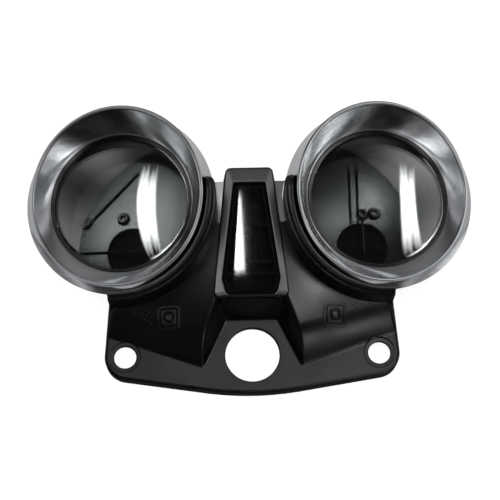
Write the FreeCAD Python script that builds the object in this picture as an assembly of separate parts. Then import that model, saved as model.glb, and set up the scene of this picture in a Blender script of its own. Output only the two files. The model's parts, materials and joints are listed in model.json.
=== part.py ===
import FreeCAD, Part
import math
import os

from FreeCAD import Placement, Rotation, Vector

# Case set of a twin-dial motorcycle instrument cluster, in millimetres.
# Origin: centre of the key-switch hole on the upper face of the mounting plate.
# +Z leaves the plate towards the rider's eye, +X is to the rider's right, +Y is forward.

# Mounting plate.
plate_skin = 3.0
skirt_depth = 9.0
shell_wall = 2.5
key_hole_radius = 16.5
mount_hole_radius = 6.75
mount_hole_spacing = 154.4
mount_dish_radius = 9.6
mount_dish_depth = 0.8
plate_nose_y = -23.7            # front edge on the centre line
plate_nose_radius = 190.0       # gentle curve of the front edge
plate_edge_slope = 8.7          # degrees, front edge each side of the nose
plate_corner_radius = 14.3
plate_corner_centre = (75.3, 0.2)
plate_side_lean = 4.0           # degrees, side edges close in towards the dials
plate_back_y = 44.0

# Shoulders beside the tower.
shoulder_peak = (24.0, 30.0, 23.0)    # a point of the sloped top, beside the tower
shoulder_fall_out = 0.17              # drop per mm outwards
shoulder_fall_front = 0.25            # drop per mm towards the rider
shoulder_front_base = ((29.7, -7.3), (85.3, 12.0))
shoulder_inner_base = ((18.0, 17.3), (29.7, -7.3))
shoulder_front_angle = 52.0
shoulder_inner_angle = 71.0
shoulder_back_y = 102.0
saddle_point = (20.0, 50.0, 25.5)      # the top flattens into a saddle beside the tower
saddle_normal = (0.05, -0.03, 1.0)
shoulder_round = 4.0

# Centre tower and its window.
tower_base_y = 22.0
tower_front_top = (29.2, 26.0)        # y and height of the lower end of the rim
tower_back_top = (107.4, 38.0)        # y and height of the upper end of the rim
tower_half_front = 23.0
tower_half_back = 14.2
tower_side_lean = 5.0
tower_round = 3.0
window_front_y = 30.8
window_wide_y = 39.5
window_back_y = 97.7
window_half_front = 15.4
window_half_wide = 17.4
window_half_back = 9.6
window_thickness = 2.0
window_sink = 1.4                     # window face below the rim
gasket_thickness = 1.0

# Dials: one frame for each side, origin in the middle of the bezel lip.
dial_x = 79.5
dial_y = 86.6
dial_z = 48.0
dial_yaw = 6.7                        # degrees outwards
dial_pitch = -3.6                     # degrees towards the rider
lip_yaw = 13.6                        # the lip plane leans further than the dial
lip_pitch = -13.7
lip_radius = 53.2
lip_bead_radius = 1.1
lens_opening_radius = 43.1
lens_opening_depth = 15.6             # below the middle of the lip, along the dial axis
skirt_radius = 57.2
skirt_depth_below_lip = 13.4
bezel_back_depth = 17.0
bezel_back_radius = 55.6
bezel_wall = 1.8
counterbore_radius = 46.4

ring_inner_radius = 40.7
ring_thickness = 1.2
lens_radius = 46.0
lens_thickness = 2.0
lens_crown = 2.4
seal_thickness = 1.2
seal_inner_radius = 42.6

cup_gasket_thickness = 1.0
cup_flange_radius = 54.0
cup_flange_thickness = 3.0
cup_wall_radius = 48.8
cup_back_radius = 46.4
cup_wall = 2.4
ledge_lip = 4.0                       # the ledge under the lens seal
cup_floor_depth = 42.0                # floor face below the middle of the lip
cup_floor_thickness = 2.6
cup_floor_rib_height = 2.5
well_depth = 7.0                      # round well for the drive, below the floor face
well_wall = 1.8

collar_inner_gap = 0.5
collar_radius = 60.0                  # upright outer wall
collar_centre_depth = 3.0             # point of the dial axis that the wall is centred on
collar_top_radius = 57.4
collar_top_drop = 2.6                 # below the lip plane
collar_start = -98.0                  # degrees round the dial from the inner side
collar_end = 9.0
ledge_inner_radius = 49.4
ledge_thickness = 3.0

screw_circle = 50.8
screw_radius = 1.5
screw_head_radius = 2.9
screw_head_height = 2.0
recess_half = 1.7                     # cross recess in the heads
recess_width = 0.7
recess_depth = 1.0
screw_tip_depth = 13.6
post_radius = 2.8
bezel_sections = 36
cup_screw_angles = (60.0, 150.0, 235.0)
cover_screw_angles = (-78.0, -4.0)

relief_height = 0.6
emblem_centre = (50.0, 19.8)          # rounded square ornament on the shoulder
emblem_half = 7.9
emblem_ring_half = 5.9
emblem_dot_half = 2.0
hatch_left, hatch_right = 59.9, 82.9  # ridged triangle beside it
hatch_low, hatch_high = 12.2, 28.4
hatch_ridges = 8
hatch_ridge_share = 0.55              # of the pitch

rear_cover_thickness = 2.4
rear_cover_gap = 0.4
rear_cover_low = -skirt_depth + screw_head_height     # its screw heads end level with the skirt
lamp_wall = 1.6
lamp_floor_z = 4.0

far = 400.0
eps = 0.05


def wire_from(points):
    """Closed straight-sided outline in the XY plane."""
    return Part.makePolygon([Vector(*p) for p in points] + [Vector(*points[0])])


def slab(points, z_low, z_high):
    """Straight prism over a plan outline."""
    outline = wire_from([(x, y, z_low) for x, y in points])
    return Part.Face(outline).extrude(Vector(0, 0, z_high - z_low))


def below_plane(point, normal):
    """Half of space that lies behind a plane."""
    normal = Vector(*normal).normalize()
    block = Part.makeBox(2 * far, 2 * far, far, Vector(-far, -far, -far))
    block.Placement = Placement(Vector(*point), Rotation(Vector(0, 0, 1), normal))
    return block


def trimmed(solid, planes, inset=0.0):
    """Solid kept behind every plane, each plane moved inwards by the inset."""
    for point, normal in planes:
        unit = Vector(*normal).normalize()
        moved = Vector(*point) - unit * inset
        solid = solid.common(below_plane(tuple(moved), tuple(unit)))
    return solid


def mirrored(shape):
    return shape.mirror(Vector(0, 0, 0), Vector(1, 0, 0))


def fused(shapes):
    whole = shapes[0]
    if len(shapes) > 1:
        whole = whole.fuse(shapes[1:])
    return whole.removeSplitter()


# Dial frame.
def direction(yaw, pitch):
    """Unit vector of the right-hand dial's axis for a yaw and a pitch in degrees."""
    yaw, pitch = math.radians(yaw), math.radians(pitch)
    return Vector(math.sin(yaw), math.sin(pitch) * math.cos(yaw), math.cos(pitch) * math.cos(yaw))


dial_axis = direction(dial_yaw, dial_pitch)
dial_turn = Rotation(Vector(0, 0, 1), dial_axis)
dial_place = Placement(Vector(dial_x, dial_y, dial_z), dial_turn)
lip_normal = dial_turn.inverted().multVec(direction(lip_yaw, lip_pitch))
lip_turn = Rotation(Vector(0, 0, 1), lip_normal)


def in_place(shape):
    """Shape of the right-hand dial, moved from the dial's frame to the part's."""
    shape = shape.copy()
    shape.Placement = dial_place.multiply(shape.Placement)
    return shape


def flat_circle(radius, depth):
    """Circle square to the dial axis."""
    return Part.Wire([Part.makeCircle(radius, Vector(0, 0, -depth))])


def lip_circle(radius, lift=0.0):
    """Circle in the leaning plane of the lip, lifted along that plane's normal."""
    ring = Part.Wire([Part.makeCircle(radius)])
    ring.Placement = Placement(lip_normal * lift, lip_turn)
    return ring


def ruled(lower, upper):
    """Straight-sided solid between two circles."""
    return Part.makeLoft([lower, upper], True, True)


def disc(radius, depth_low, depth_high, x=0.0, y=0.0):
    """Cylinder from depth_low up to depth_high below the lip."""
    return Part.makeCylinder(radius, depth_low - depth_high, Vector(x, y, -depth_low))


def ring(outer, inner, depth_low, depth_high):
    return disc(outer, depth_low, depth_high).cut(disc(inner, depth_low + 1, depth_high - 1))


def on_circle(radius, angle):
    """Point of the right-hand dial; the angle starts at the side towards the tower."""
    turn = math.radians(180.0 - angle)
    return radius * math.cos(turn), radius * math.sin(turn)


def sector(start, end, radius, depth_low, depth_high):
    """Wedge of a cylinder, angles as in on_circle."""
    wedge = Part.makeCylinder(radius, depth_low - depth_high, Vector(0, 0, -depth_low),
                              Vector(0, 0, 1), end - start)
    wedge.rotate(Vector(0, 0, 0), Vector(0, 0, 1), 180.0 - end)
    return wedge


# Bezel and lens.
def lip_height(x, y):
    """Height of the lip plane above the dial's origin, in the dial's frame."""
    return -(lip_normal.x * x + lip_normal.y * y) / lip_normal.z


def bezel_section(angle):
    """Section of the bezel at an angle round the dial: a skirt wall and a funnel wall under one lip."""
    turn = math.radians(angle)
    crown = lip_height(math.cos(turn), math.sin(turn))
    outer, inner = lip_radius, lip_radius - 2 * lip_bead_radius
    middle = lip_radius - lip_bead_radius
    points = [(outer, crown * outer - 0.5), (skirt_radius, -skirt_depth_below_lip),
              (bezel_back_radius, -bezel_back_depth), (bezel_back_radius - bezel_wall, -bezel_back_depth),
              (middle + 0.2, crown * middle - 2.2), (middle - 0.2, crown * middle - 2.2),
              (counterbore_radius + bezel_wall, -bezel_back_depth), (counterbore_radius, -bezel_back_depth),
              (counterbore_radius, -lens_opening_depth - 0.4),
              (lens_opening_radius, -lens_opening_depth - 0.4),
              (lens_opening_radius, -lens_opening_depth), (inner, crown * inner - 0.5),
              (inner + 0.4, crown * inner + 0.3), (middle, crown * middle + 0.6),
              (outer - 0.4, crown * outer + 0.3)]
    closed = points + points[:1]
    return Part.makePolygon([Vector(r * math.cos(turn), r * math.sin(turn), z) for r, z in closed])


def post_height(x, y):
    """Top of a screw post, just under the funnel."""
    edge = screw_circle - post_radius
    crown = lip_height(x, y) / screw_circle * (lip_radius - 2 * lip_bead_radius)
    share = (edge - lens_opening_radius) / (lip_radius - 2 * lip_bead_radius - lens_opening_radius)
    return -lens_opening_depth + share * (crown + lens_opening_depth) - 0.6


def bezel():
    sections = [bezel_section(360.0 * i / bezel_sections) for i in range(bezel_sections)]
    body = Part.makeLoft(sections, True, False, True)
    if body.Volume < 0:
        body.reverse()
    for angle in cup_screw_angles + cover_screw_angles:
        x, y = on_circle(screw_circle, angle)
        body = body.fuse(disc(post_radius, bezel_back_depth, -post_height(x, y), x, y))
        body = body.cut(disc(screw_radius, bezel_back_depth + 1, screw_tip_depth - 0.3, x, y))
    return in_place(body)


def retainer_ring():
    top = lens_opening_depth + 0.5
    return in_place(ring(lens_radius, ring_inner_radius, top + ring_thickness, top))


lens_top = lens_opening_depth + 0.5 + ring_thickness


def lens():
    """Flat rim and a low dome, of even thickness."""
    rim = 40.2
    sphere_radius = (rim ** 2 + lens_crown ** 2) / (2 * lens_crown)

    def dome(top_depth):
        base = disc(lens_radius, lens_top + lens_thickness, top_depth)
        ball = Part.makeSphere(sphere_radius, Vector(0, 0, -top_depth + lens_crown - sphere_radius))
        cap = ball.common(disc(rim + 1, top_depth, top_depth - lens_crown - 1))
        return base, cap

    base, cap = dome(lens_top)
    hollow_ball = Part.makeSphere(sphere_radius,
                                  Vector(0, 0, -lens_top + lens_crown - sphere_radius - lens_thickness))
    hollow = hollow_ball.common(disc(rim + 1, lens_top + lens_thickness + 1, lens_top - lens_crown))
    hollow = hollow.common(disc(rim, lens_top + lens_thickness + 1, lens_top - lens_crown))
    return in_place(base.fuse(cap).cut(hollow).removeSplitter())


seal_top = lens_top + lens_thickness


def lens_seal():
    return in_place(ring(lens_radius, seal_inner_radius, seal_top + seal_thickness, seal_top))


def cup_gasket():
    pad = ring(cup_flange_radius, counterbore_radius + 0.4, bezel_back_depth + cup_gasket_thickness,
               bezel_back_depth)
    for angle in cup_screw_angles + cover_screw_angles:
        x, y = on_circle(screw_circle, angle)
        pad = pad.cut(disc(screw_radius + 0.2, bezel_back_depth + 2, bezel_back_depth - 1, x, y))
    return in_place(pad)


# Rear cup.
flange_top = bezel_back_depth + cup_gasket_thickness
ledge_depth = seal_top + seal_thickness
floor_back = cup_floor_depth + cup_floor_thickness


def floor_rib(x1, y1, x2, y2, height=cup_floor_rib_height, width=1.0):
    """Thin upright rib on the cup floor, in the dial's frame."""
    length = math.hypot(x2 - x1, y2 - y1)
    rib = Part.makeBox(length, width, height + eps, Vector(0, -width / 2, 0))
    rib.rotate(Vector(0, 0, 0), Vector(0, 0, 1), math.degrees(math.atan2(y2 - y1, x2 - x1)))
    rib.translate(Vector(x1, y1, -cup_floor_depth - eps))
    return rib


def floor_boss(x, y, outer=3.2, hole=1.3, height=3.5):
    """Ring boss with a blind pilot hole."""
    boss = Part.makeCylinder(outer, height + eps, Vector(x, y, -cup_floor_depth - eps))
    return boss.cut(Part.makeCylinder(hole, height, Vector(x, y, -cup_floor_depth + 1)))


def rear_cup(bosses, ribs, well, well_radius):
    """Dial case: flange, tapered wall, floor with a round well, and the details moulded on the floor."""
    depth = floor_back - flange_top
    wall = Part.makeCone(cup_back_radius, cup_wall_radius, depth, Vector(0, 0, -floor_back))
    flange = disc(cup_flange_radius, flange_top + cup_flange_thickness, flange_top)
    well_back = cup_floor_depth + well_depth + well_wall
    pocket = disc(well_radius + well_wall, well_back, floor_back - 1, *well)
    body = wall.fuse([flange, pocket])
    taper = (cup_wall_radius - cup_back_radius) / depth
    cavity_low = cup_back_radius - cup_wall - 1.6
    cavity_height = cup_floor_depth - ledge_depth - ledge_lip
    cavity_high = cavity_low + taper * cavity_height
    cavity = Part.makeCone(cavity_low, cavity_high, cavity_height, Vector(0, 0, -cup_floor_depth))
    throat = disc(seal_inner_radius, ledge_depth + ledge_lip + eps, flange_top - 1)
    socket = disc(lens_radius + 0.2, ledge_depth, flange_top - 1)
    well_space = disc(well_radius, cup_floor_depth + well_depth, cup_floor_depth - eps, *well)
    body = body.cut(cavity.fuse([throat, socket, well_space]))
    foot = Vector(0, 0, -cup_floor_depth - eps)
    inside = Part.makeCone(cavity_low + 0.6, cavity_high + 0.6, cavity_height, foot)
    details = [floor_boss(x, y) for x, y in bosses] + [floor_rib(*rib) for rib in ribs]
    body = body.fuse([piece.common(inside) for piece in details])
    for angle in cup_screw_angles + cover_screw_angles:
        x, y = on_circle(screw_circle, angle)
        hole = disc(screw_radius + 0.15, flange_top + cup_flange_thickness + 1, flange_top - 1, x, y)
        body = body.cut(hole)
    return in_place(body.removeSplitter())


def cross_cut(screw, x, y, low):
    """Cross recess in a screw head that faces down."""
    long, wide = 2 * recess_half, recess_width
    slot = Part.makeBox(long, wide, recess_depth, Vector(x - long / 2, y - wide / 2, low - eps))
    cross = Part.makeBox(wide, long, recess_depth, Vector(x - wide / 2, y - long / 2, low - eps))
    return screw.cut(slot).cut(cross).removeSplitter()


def screws(angles, head_depth):
    """Round-headed screws up into the bezel posts, heads at the given depth."""
    group = []
    for angle in angles:
        x, y = on_circle(screw_circle, angle)
        shank = disc(screw_radius - eps, head_depth, screw_tip_depth, x, y)
        head = disc(screw_head_radius, head_depth + screw_head_height, head_depth, x, y)
        group.append(cross_cut(shank.fuse(head), x, y, -head_depth - screw_head_height))
    return in_place(Part.makeCompound(group))


# Front cover.
def plate_outline(inset=0.0):
    """Plan outline: curved nose, sloping front edges, round corners, leaning sides."""
    slope = math.radians(plate_edge_slope)
    lean = math.radians(plate_side_lean)
    corner = Vector(plate_corner_centre[0], plate_corner_centre[1], 0)
    radius = plate_corner_radius - inset
    nose_radius = plate_nose_radius - inset
    nose_centre = Vector(0, plate_nose_y + plate_nose_radius, 0)
    nose_edge = nose_centre + Vector(math.sin(slope), -math.cos(slope), 0) * nose_radius
    corner_front = corner + Vector(math.sin(slope), -math.cos(slope), 0) * radius
    middle_turn = (slope - math.pi / 2 + lean) / 2
    corner_middle = corner + Vector(math.cos(middle_turn), math.sin(middle_turn), 0) * radius
    corner_side = corner + Vector(math.cos(lean), math.sin(lean), 0) * radius
    back_y = plate_back_y - inset
    back = Vector(corner_side.x - (back_y - corner_side.y) * math.tan(lean), back_y, 0)

    def flip(p):
        return Vector(-p.x, p.y, 0)

    edges = [Part.Arc(flip(nose_edge), nose_centre - Vector(0, nose_radius, 0), nose_edge).toShape(),
             Part.makeLine(nose_edge, corner_front),
             Part.Arc(corner_front, corner_middle, corner_side).toShape(),
             Part.makeLine(corner_side, back),
             Part.makeLine(back, flip(back)),
             Part.makeLine(flip(back), flip(corner_side)),
             Part.Arc(flip(corner_side), flip(corner_middle), flip(corner_front)).toShape(),
             Part.makeLine(flip(corner_front), flip(nose_edge))]
    return Part.Wire(edges)


def plate_block(inset=0.0):
    low = -skirt_depth - (1.0 if inset else 0.0)
    high = -plate_skin if inset else 0.0
    face = Part.Face(plate_outline(inset))
    face.translate(Vector(0, 0, low))
    block = face.extrude(Vector(0, 0, high - low))
    if not inset:
        rim = [e for e in block.Edges if abs(e.BoundBox.ZMin) < 0.01 and abs(e.BoundBox.ZMax) < 0.01
               and e.BoundBox.YMax < plate_back_y - 1]
        block = block.makeFillet(1.2, rim)
    return block


def wall_normal(start, end, angle):
    """Outward normal of a wall that rises from a base line at an angle to the plate."""
    along = Vector(end[0] - start[0], end[1] - start[1], 0).normalize()
    out = Vector(along.y, -along.x, 0)
    tilt = math.radians(angle)
    return tuple(out * math.sin(tilt) + Vector(0, 0, math.cos(tilt)))


shoulder_top_normal = (shoulder_fall_out, -shoulder_fall_front, 1.0)


def shoulder(inset=0.0):
    """Right-hand shoulder: sloped top, slanted front and inner walls."""
    lean = math.radians(plate_side_lean)
    side_x = plate_corner_centre[0] + plate_corner_radius
    low = -1.0 if not inset else -skirt_depth - 1.0
    block = Part.makeBox(120, shoulder_back_y + 40 - inset, 80, Vector(0, -40, low))
    front_a, front_b = shoulder_front_base
    inner_a, inner_b = shoulder_inner_base
    planes = [(shoulder_peak, shoulder_top_normal),
              (saddle_point, saddle_normal),
              ((front_a[0], front_a[1], 0), wall_normal(front_a, front_b, shoulder_front_angle)),
              ((inner_b[0], inner_b[1], 0), wall_normal(inner_a, inner_b, shoulder_inner_angle)),
              ((side_x, plate_corner_centre[1], 0), (math.cos(lean), math.sin(lean), 0.06))]
    block = trimmed(block, planes, inset)
    if not inset:
        top = [e for e in block.Edges if e.BoundBox.ZMin > 1.0 and e.BoundBox.YMin < 20
               and e.BoundBox.XMin > 5]
        block = block.makeFillet(shoulder_round, top)
    return block


def rim_height(y):
    """Height of the tower's rim at a place along the centre line."""
    y0, z0 = tower_front_top
    y1, z1 = tower_back_top
    return z0 + (y - y0) * (z1 - z0) / (y1 - y0)


rim_normal = (0.0, -(tower_back_top[1] - tower_front_top[1]), tower_back_top[0] - tower_front_top[0])


def tower(inset=0.0):
    """Tapered tower with a leaning rim and a steep front wall."""
    low = -1.0 if not inset else -skirt_depth - 1.0
    block = Part.makeBox(80, 120, 80, Vector(-40, 0, low))
    taper = math.atan((tower_half_front - tower_half_back) / (tower_back_top[0] - tower_front_top[0]))
    lean = math.radians(tower_side_lean)
    side = Vector(math.cos(taper) * math.cos(lean), math.sin(taper) * math.cos(lean), math.sin(lean))
    corner = (tower_half_front, tower_front_top[0], tower_front_top[1])
    planes = [((0, tower_front_top[0], tower_front_top[1]), rim_normal),
              ((0, tower_base_y, 0), (0, -tower_front_top[1], tower_front_top[0] - tower_base_y)),
              (corner, tuple(side)),
              ((-corner[0], corner[1], corner[2]), (-side.x, side.y, side.z)),
              ((0, tower_back_top[0], 0), (0, 1, 0.02))]
    block = trimmed(block, planes, inset)
    if not inset:
        upright = [e for e in block.Edges if e.BoundBox.ZMax > 20 and e.Length > 10
                   and abs(e.BoundBox.XMax + e.BoundBox.XMin) > 5]
        block = block.makeFillet(tower_round, upright)
    return block


def upright(radius, low):
    """Upright cylinder about a point of the dial axis, in the part's frame."""
    centre = Vector(dial_x, dial_y, 0) - dial_axis * collar_centre_depth
    return Part.makeCylinder(radius, far, Vector(centre.x, centre.y, low))


def collar():
    """Right-hand collar: an upright wall with a 45 degree bevel that follows the lean of the lip."""
    wall = upright(collar_radius, -skirt_depth)
    reach = 70.0    # well past the foot of the wall
    hood = ruled(lip_circle(collar_top_radius + reach, -collar_top_drop - reach),
                 lip_circle(collar_top_radius, -collar_top_drop))
    wedge = sector(collar_start, collar_end, 90.0, 70.0, -30.0)
    return wall.common(in_place(hood)).common(in_place(wedge))


def dial_bore(extra=0.0):
    """Space that the right-hand bezel and cup need in the cover."""
    gap = collar_inner_gap + extra
    skirt = ruled(flat_circle(skirt_radius + gap, skirt_depth_below_lip),
                  lip_circle(lip_radius + gap, 0.0))
    above = ruled(flat_circle(lip_radius + gap, skirt_depth_below_lip - 1),
                  lip_circle(lip_radius + gap, 60.0))
    back = disc(skirt_radius + gap, bezel_back_depth + 0.5, skirt_depth_below_lip - eps)
    below = upright(collar_radius - shell_wall + extra, -far / 4).common(
        in_place(disc(far, far, bezel_back_depth)))
    return in_place(skirt.fuse([above, back])).fuse(below)


def window_outline(inset, z):
    half = [(window_half_front - 1.6, window_front_y), (window_half_front + 0.2, window_front_y + 1.8),
            (window_half_wide, window_wide_y), (window_half_back, window_back_y)]
    cx, cy = 0.0, (window_front_y + window_back_y) / 2
    half_y = (window_back_y - window_front_y) / 2
    points = []
    for x, y in half:
        points.append((x - inset, cy + (y - cy) * (half_y - inset) / half_y, z))
    return points + [(-x, y, z) for x, y, z in reversed(points)]


def window_prism(inset, depth_low, depth_high):
    """Prism along the rim's normal, between two depths below the rim."""
    low = wire_from(window_outline(inset, 0.0))
    face = Part.Face(low)
    normal = Vector(*rim_normal).normalize()
    tall = face.extrude(Vector(0, 0, 90))
    tall.translate(Vector(0, 0, -20))
    top = Vector(0, tower_front_top[0], tower_front_top[1]) - normal * depth_high
    bottom = Vector(0, tower_front_top[0], tower_front_top[1]) - normal * depth_low
    kept = tall.common(below_plane(tuple(top), tuple(normal)))
    return kept.cut(below_plane(tuple(bottom), tuple(normal)))


def top_height(x, y):
    """Height of the shoulder's sloped top."""
    px, py, pz = shoulder_peak
    return pz - shoulder_fall_out * (x - px) + shoulder_fall_front * (y - py)


def relief(points, height):
    """Raised pad on the shoulder's slope, over a plan outline."""
    tall = slab(points, -1.0, 60.0)
    px, py, pz = shoulder_peak
    return tall.common(below_plane((px, py, pz + height), shoulder_top_normal)).cut(
        below_plane((px, py, pz - 0.4), shoulder_top_normal))


def square(cx, cy, half):
    cut = half * 0.35
    return [(cx - half + cut, cy - half), (cx + half - cut, cy - half), (cx + half, cy - half + cut),
            (cx + half, cy + half - cut), (cx + half - cut, cy + half), (cx - half + cut, cy + half),
            (cx - half, cy + half - cut), (cx - half, cy - half + cut)]


def shoulder_relief():
    """Plain ornament: a square ring round a small pad, and a ridged triangle beside it."""
    frame = relief(square(*emblem_centre, emblem_half), relief_height)
    frame = frame.cut(relief(square(*emblem_centre, emblem_ring_half), relief_height + 1))
    dot = relief(square(*emblem_centre, emblem_dot_half), relief_height)
    pieces = [frame, dot]
    step_x = (hatch_right - hatch_left) / hatch_ridges
    step_y = (hatch_high - hatch_low) / hatch_ridges
    for i in range(hatch_ridges):
        x0, y0 = hatch_left + step_x * i, hatch_low + step_y * i
        x1, y1 = x0 + step_x * hatch_ridge_share, y0 + step_y * hatch_ridge_share
        pieces.append(relief([(x0, y0), (x1, y1), (x1, hatch_high), (x0, hatch_high)], relief_height))
    return pieces


def cover_ledge():
    """Inward ledge of the collar that carries the cup flange."""
    top = flange_top + cup_flange_thickness
    plate = ring(collar_radius + 3, ledge_inner_radius, top + ledge_thickness, top)
    plate = plate.common(sector(collar_start + 1, collar_end - 1, 90.0, 52.0, -30.0))
    for angle in cover_screw_angles:
        x, y = on_circle(screw_circle, angle)
        plate = plate.cut(disc(screw_radius + 0.15, top + ledge_thickness + 1, top - 1, x, y))
    return in_place(plate).common(upright(collar_radius - 0.5, -skirt_depth))


cover_post_places = ((15.4, 92.0), (-15.4, 92.0), (32.0, 34.0), (-32.0, 34.0))
cover_post_radius = 3.2
cover_post_height = 26.5


def cover_posts():
    """Hollow posts that take the rear cover's screws."""
    posts = []
    for x, y in cover_post_places:
        low = rear_cover_low + rear_cover_thickness
        post = Part.makeCylinder(cover_post_radius, cover_post_height - low, Vector(x, y, low))
        posts.append(post.cut(Part.makeCylinder(screw_radius, 12.0, Vector(x, y, rear_cover_low))))
    return posts


def front_cover():
    """Thin moulded shell: outer form less the same form set in by the wall."""
    right = [shoulder(), collar()]
    outer = fused([plate_block(), tower()] + right + [mirrored(s) for s in right])
    inner_right = shoulder(shell_wall)
    inner = fused([plate_block(shell_wall), tower(shell_wall), inner_right, mirrored(inner_right)])
    keep = dial_bore(shell_wall)
    bore = dial_bore()
    inner = inner.cut(keep).cut(mirrored(keep))
    shell = outer.cut(inner)
    posts = [post.common(outer).cut(window_prism(-1.5, 90.0, -5.0)) for post in cover_posts()]
    shell = shell.cut(bore).cut(mirrored(bore))
    ledge = cover_ledge()
    shell = shell.fuse([ledge, mirrored(ledge)] + posts)
    shell = shell.cut(window_prism(0.0, 20.0, -5.0))
    shell = shell.cut(Part.makeCylinder(key_hole_radius, 40, Vector(0, 0, -20)))
    for side in (-1, 1):
        place = Vector(side * mount_hole_spacing / 2, 0, -20)
        shell = shell.cut(Part.makeCylinder(mount_hole_radius, 40, place))
        dish = Vector(place.x, 0, -mount_dish_depth)
        shell = shell.cut(Part.makeCylinder(mount_dish_radius, 5, dish))
    raised = shoulder_relief()
    shell = shell.fuse(raised + [mirrored(piece) for piece in raised])
    return shell.removeSplitter()


# Window, lamps, rear cover.
def centre_window():
    return window_prism(0.3, window_sink + window_thickness, window_sink)


def window_gasket():
    top = window_sink + window_thickness
    return window_prism(0.3, top + gasket_thickness, top).cut(window_prism(2.2, top + 3, top - 1))


def lamp_housing():
    """Open box under the window, with stepped cross walls near its lower end."""
    top = window_sink + window_thickness + gasket_thickness
    around = [(-40, 0), (40, 0), (40, 120), (-40, 120)]
    outer = window_prism(0.6, 90.0, top).common(slab(around, lamp_floor_z, 80))
    inner = window_prism(0.6 + lamp_wall, 90.0, top - 1).common(slab(around, lamp_floor_z + lamp_wall, 80))
    walls = []
    for y, depth in ((46.0, 8.0), (52.0, 5.0), (74.0, 3.0)):
        wall = slab([(-40, y), (40, y), (40, y + lamp_wall), (-40, y + lamp_wall)], lamp_floor_z, 80)
        walls.append(wall.common(window_prism(0.7, 90.0, top + depth)).common(outer))
    return outer.cut(inner).fuse(walls).removeSplitter()


rear_cover_outline = [(-40, 25), (40, 25), (36, 42), (25, 62), (24, 80), (26.5, 99.8),
                      (-26.5, 99.8), (-24, 80), (-25, 62), (-36, 42)]
lamp_post_places = ((0.0, 36.0), (0.0, 88.0))


def rear_cover():
    """Panel inside the skirt, with posts up to the lamp housing."""
    low = rear_cover_low
    plate = slab(rear_cover_outline, low, low + rear_cover_thickness)
    keep = upright(collar_radius + rear_cover_gap, -far / 4)
    plate = plate.cut(keep).cut(mirrored(keep))
    posts = []
    for x, y in lamp_post_places:
        posts.append(Part.makeCylinder(3.5, lamp_floor_z - low - eps, Vector(x, y, low)))
    plate = plate.fuse(posts)
    for x, y in cover_post_places + lamp_post_places:
        plate = plate.cut(Part.makeCylinder(screw_radius + 0.15, 60, Vector(x, y, low - 1)))
    return plate.removeSplitter()


def upward_screws(places, length):
    """Screws from behind the rear cover, heads on its back."""
    group = []
    for x, y in places:
        shank = Part.makeCylinder(screw_radius - eps, length, Vector(x, y, rear_cover_low))
        head = Part.makeCylinder(screw_head_radius, screw_head_height, Vector(x, y, -skirt_depth))
        group.append(cross_cut(shank.fuse(head), x, y, -skirt_depth))
    return Part.makeCompound(group)


# Output.
# Floor details, in the dial's frame: bosses (x, y), ribs (x1, y1, x2, y2), round well.
left_floor = dict(bosses=[(-26.9, -4.5), (-3.4, -3.0)],
                  ribs=[(-22.5, -2.4, 6.0, 26.0), (-30.0, -23.8, 12.0, -23.8), (6.0, -23.8, 6.0, -38.0)],
                  well=(2.3, -25.0), well_radius=15.5)
right_floor = dict(bosses=[(-4.7, -3.2), (2.9, -2.4)],
                   ribs=[(-12.0, 25.0, -12.0, -8.5), (-7.2, 25.0, -7.2, -8.5),
                         (-4.5, -7.0, -4.5, -38.0), (-11.0, -24.3, 11.0, -24.3)],
                   well=(-5.4, -24.6), well_radius=15.6)


def save(name, shape):
    os.makedirs("parts", exist_ok=True)
    shape.exportStep("parts/" + name + ".step")


def main():
    pairs = {"bezel": bezel(), "lens": lens(), "retainer_ring": retainer_ring(), "lens_seal": lens_seal(),
             "cup_gasket": cup_gasket(),
             "cup_screws": screws(cup_screw_angles, flange_top + cup_flange_thickness),
             "cover_screws": screws(cover_screw_angles, flange_top + cup_flange_thickness + ledge_thickness)}
    for name, shape in pairs.items():
        save("right_" + name, shape)
        save("left_" + name, mirrored(shape))
    save("right_rear_cup", rear_cup(**right_floor))
    flipped = dict(left_floor)
    flipped["bosses"] = [(-x, y) for x, y in left_floor["bosses"]]
    flipped["ribs"] = [(-x1, y1, -x2, y2) for x1, y1, x2, y2 in left_floor["ribs"]]
    flipped["well"] = (-left_floor["well"][0], left_floor["well"][1])
    save("left_rear_cup", mirrored(rear_cup(**flipped)))
    save("front_cover", front_cover())
    save("centre_window", centre_window())
    save("window_gasket", window_gasket())
    save("lamp_housing", lamp_housing())
    save("rear_cover", rear_cover())
    save("rear_cover_screws", upward_screws(cover_post_places, 10.0))
    save("lamp_housing_screws", upward_screws(lamp_post_places, 12.4))


main()
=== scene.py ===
import json
import math

import bmesh
import bpy
import numpy as np
from mathutils import Matrix, Vector

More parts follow.
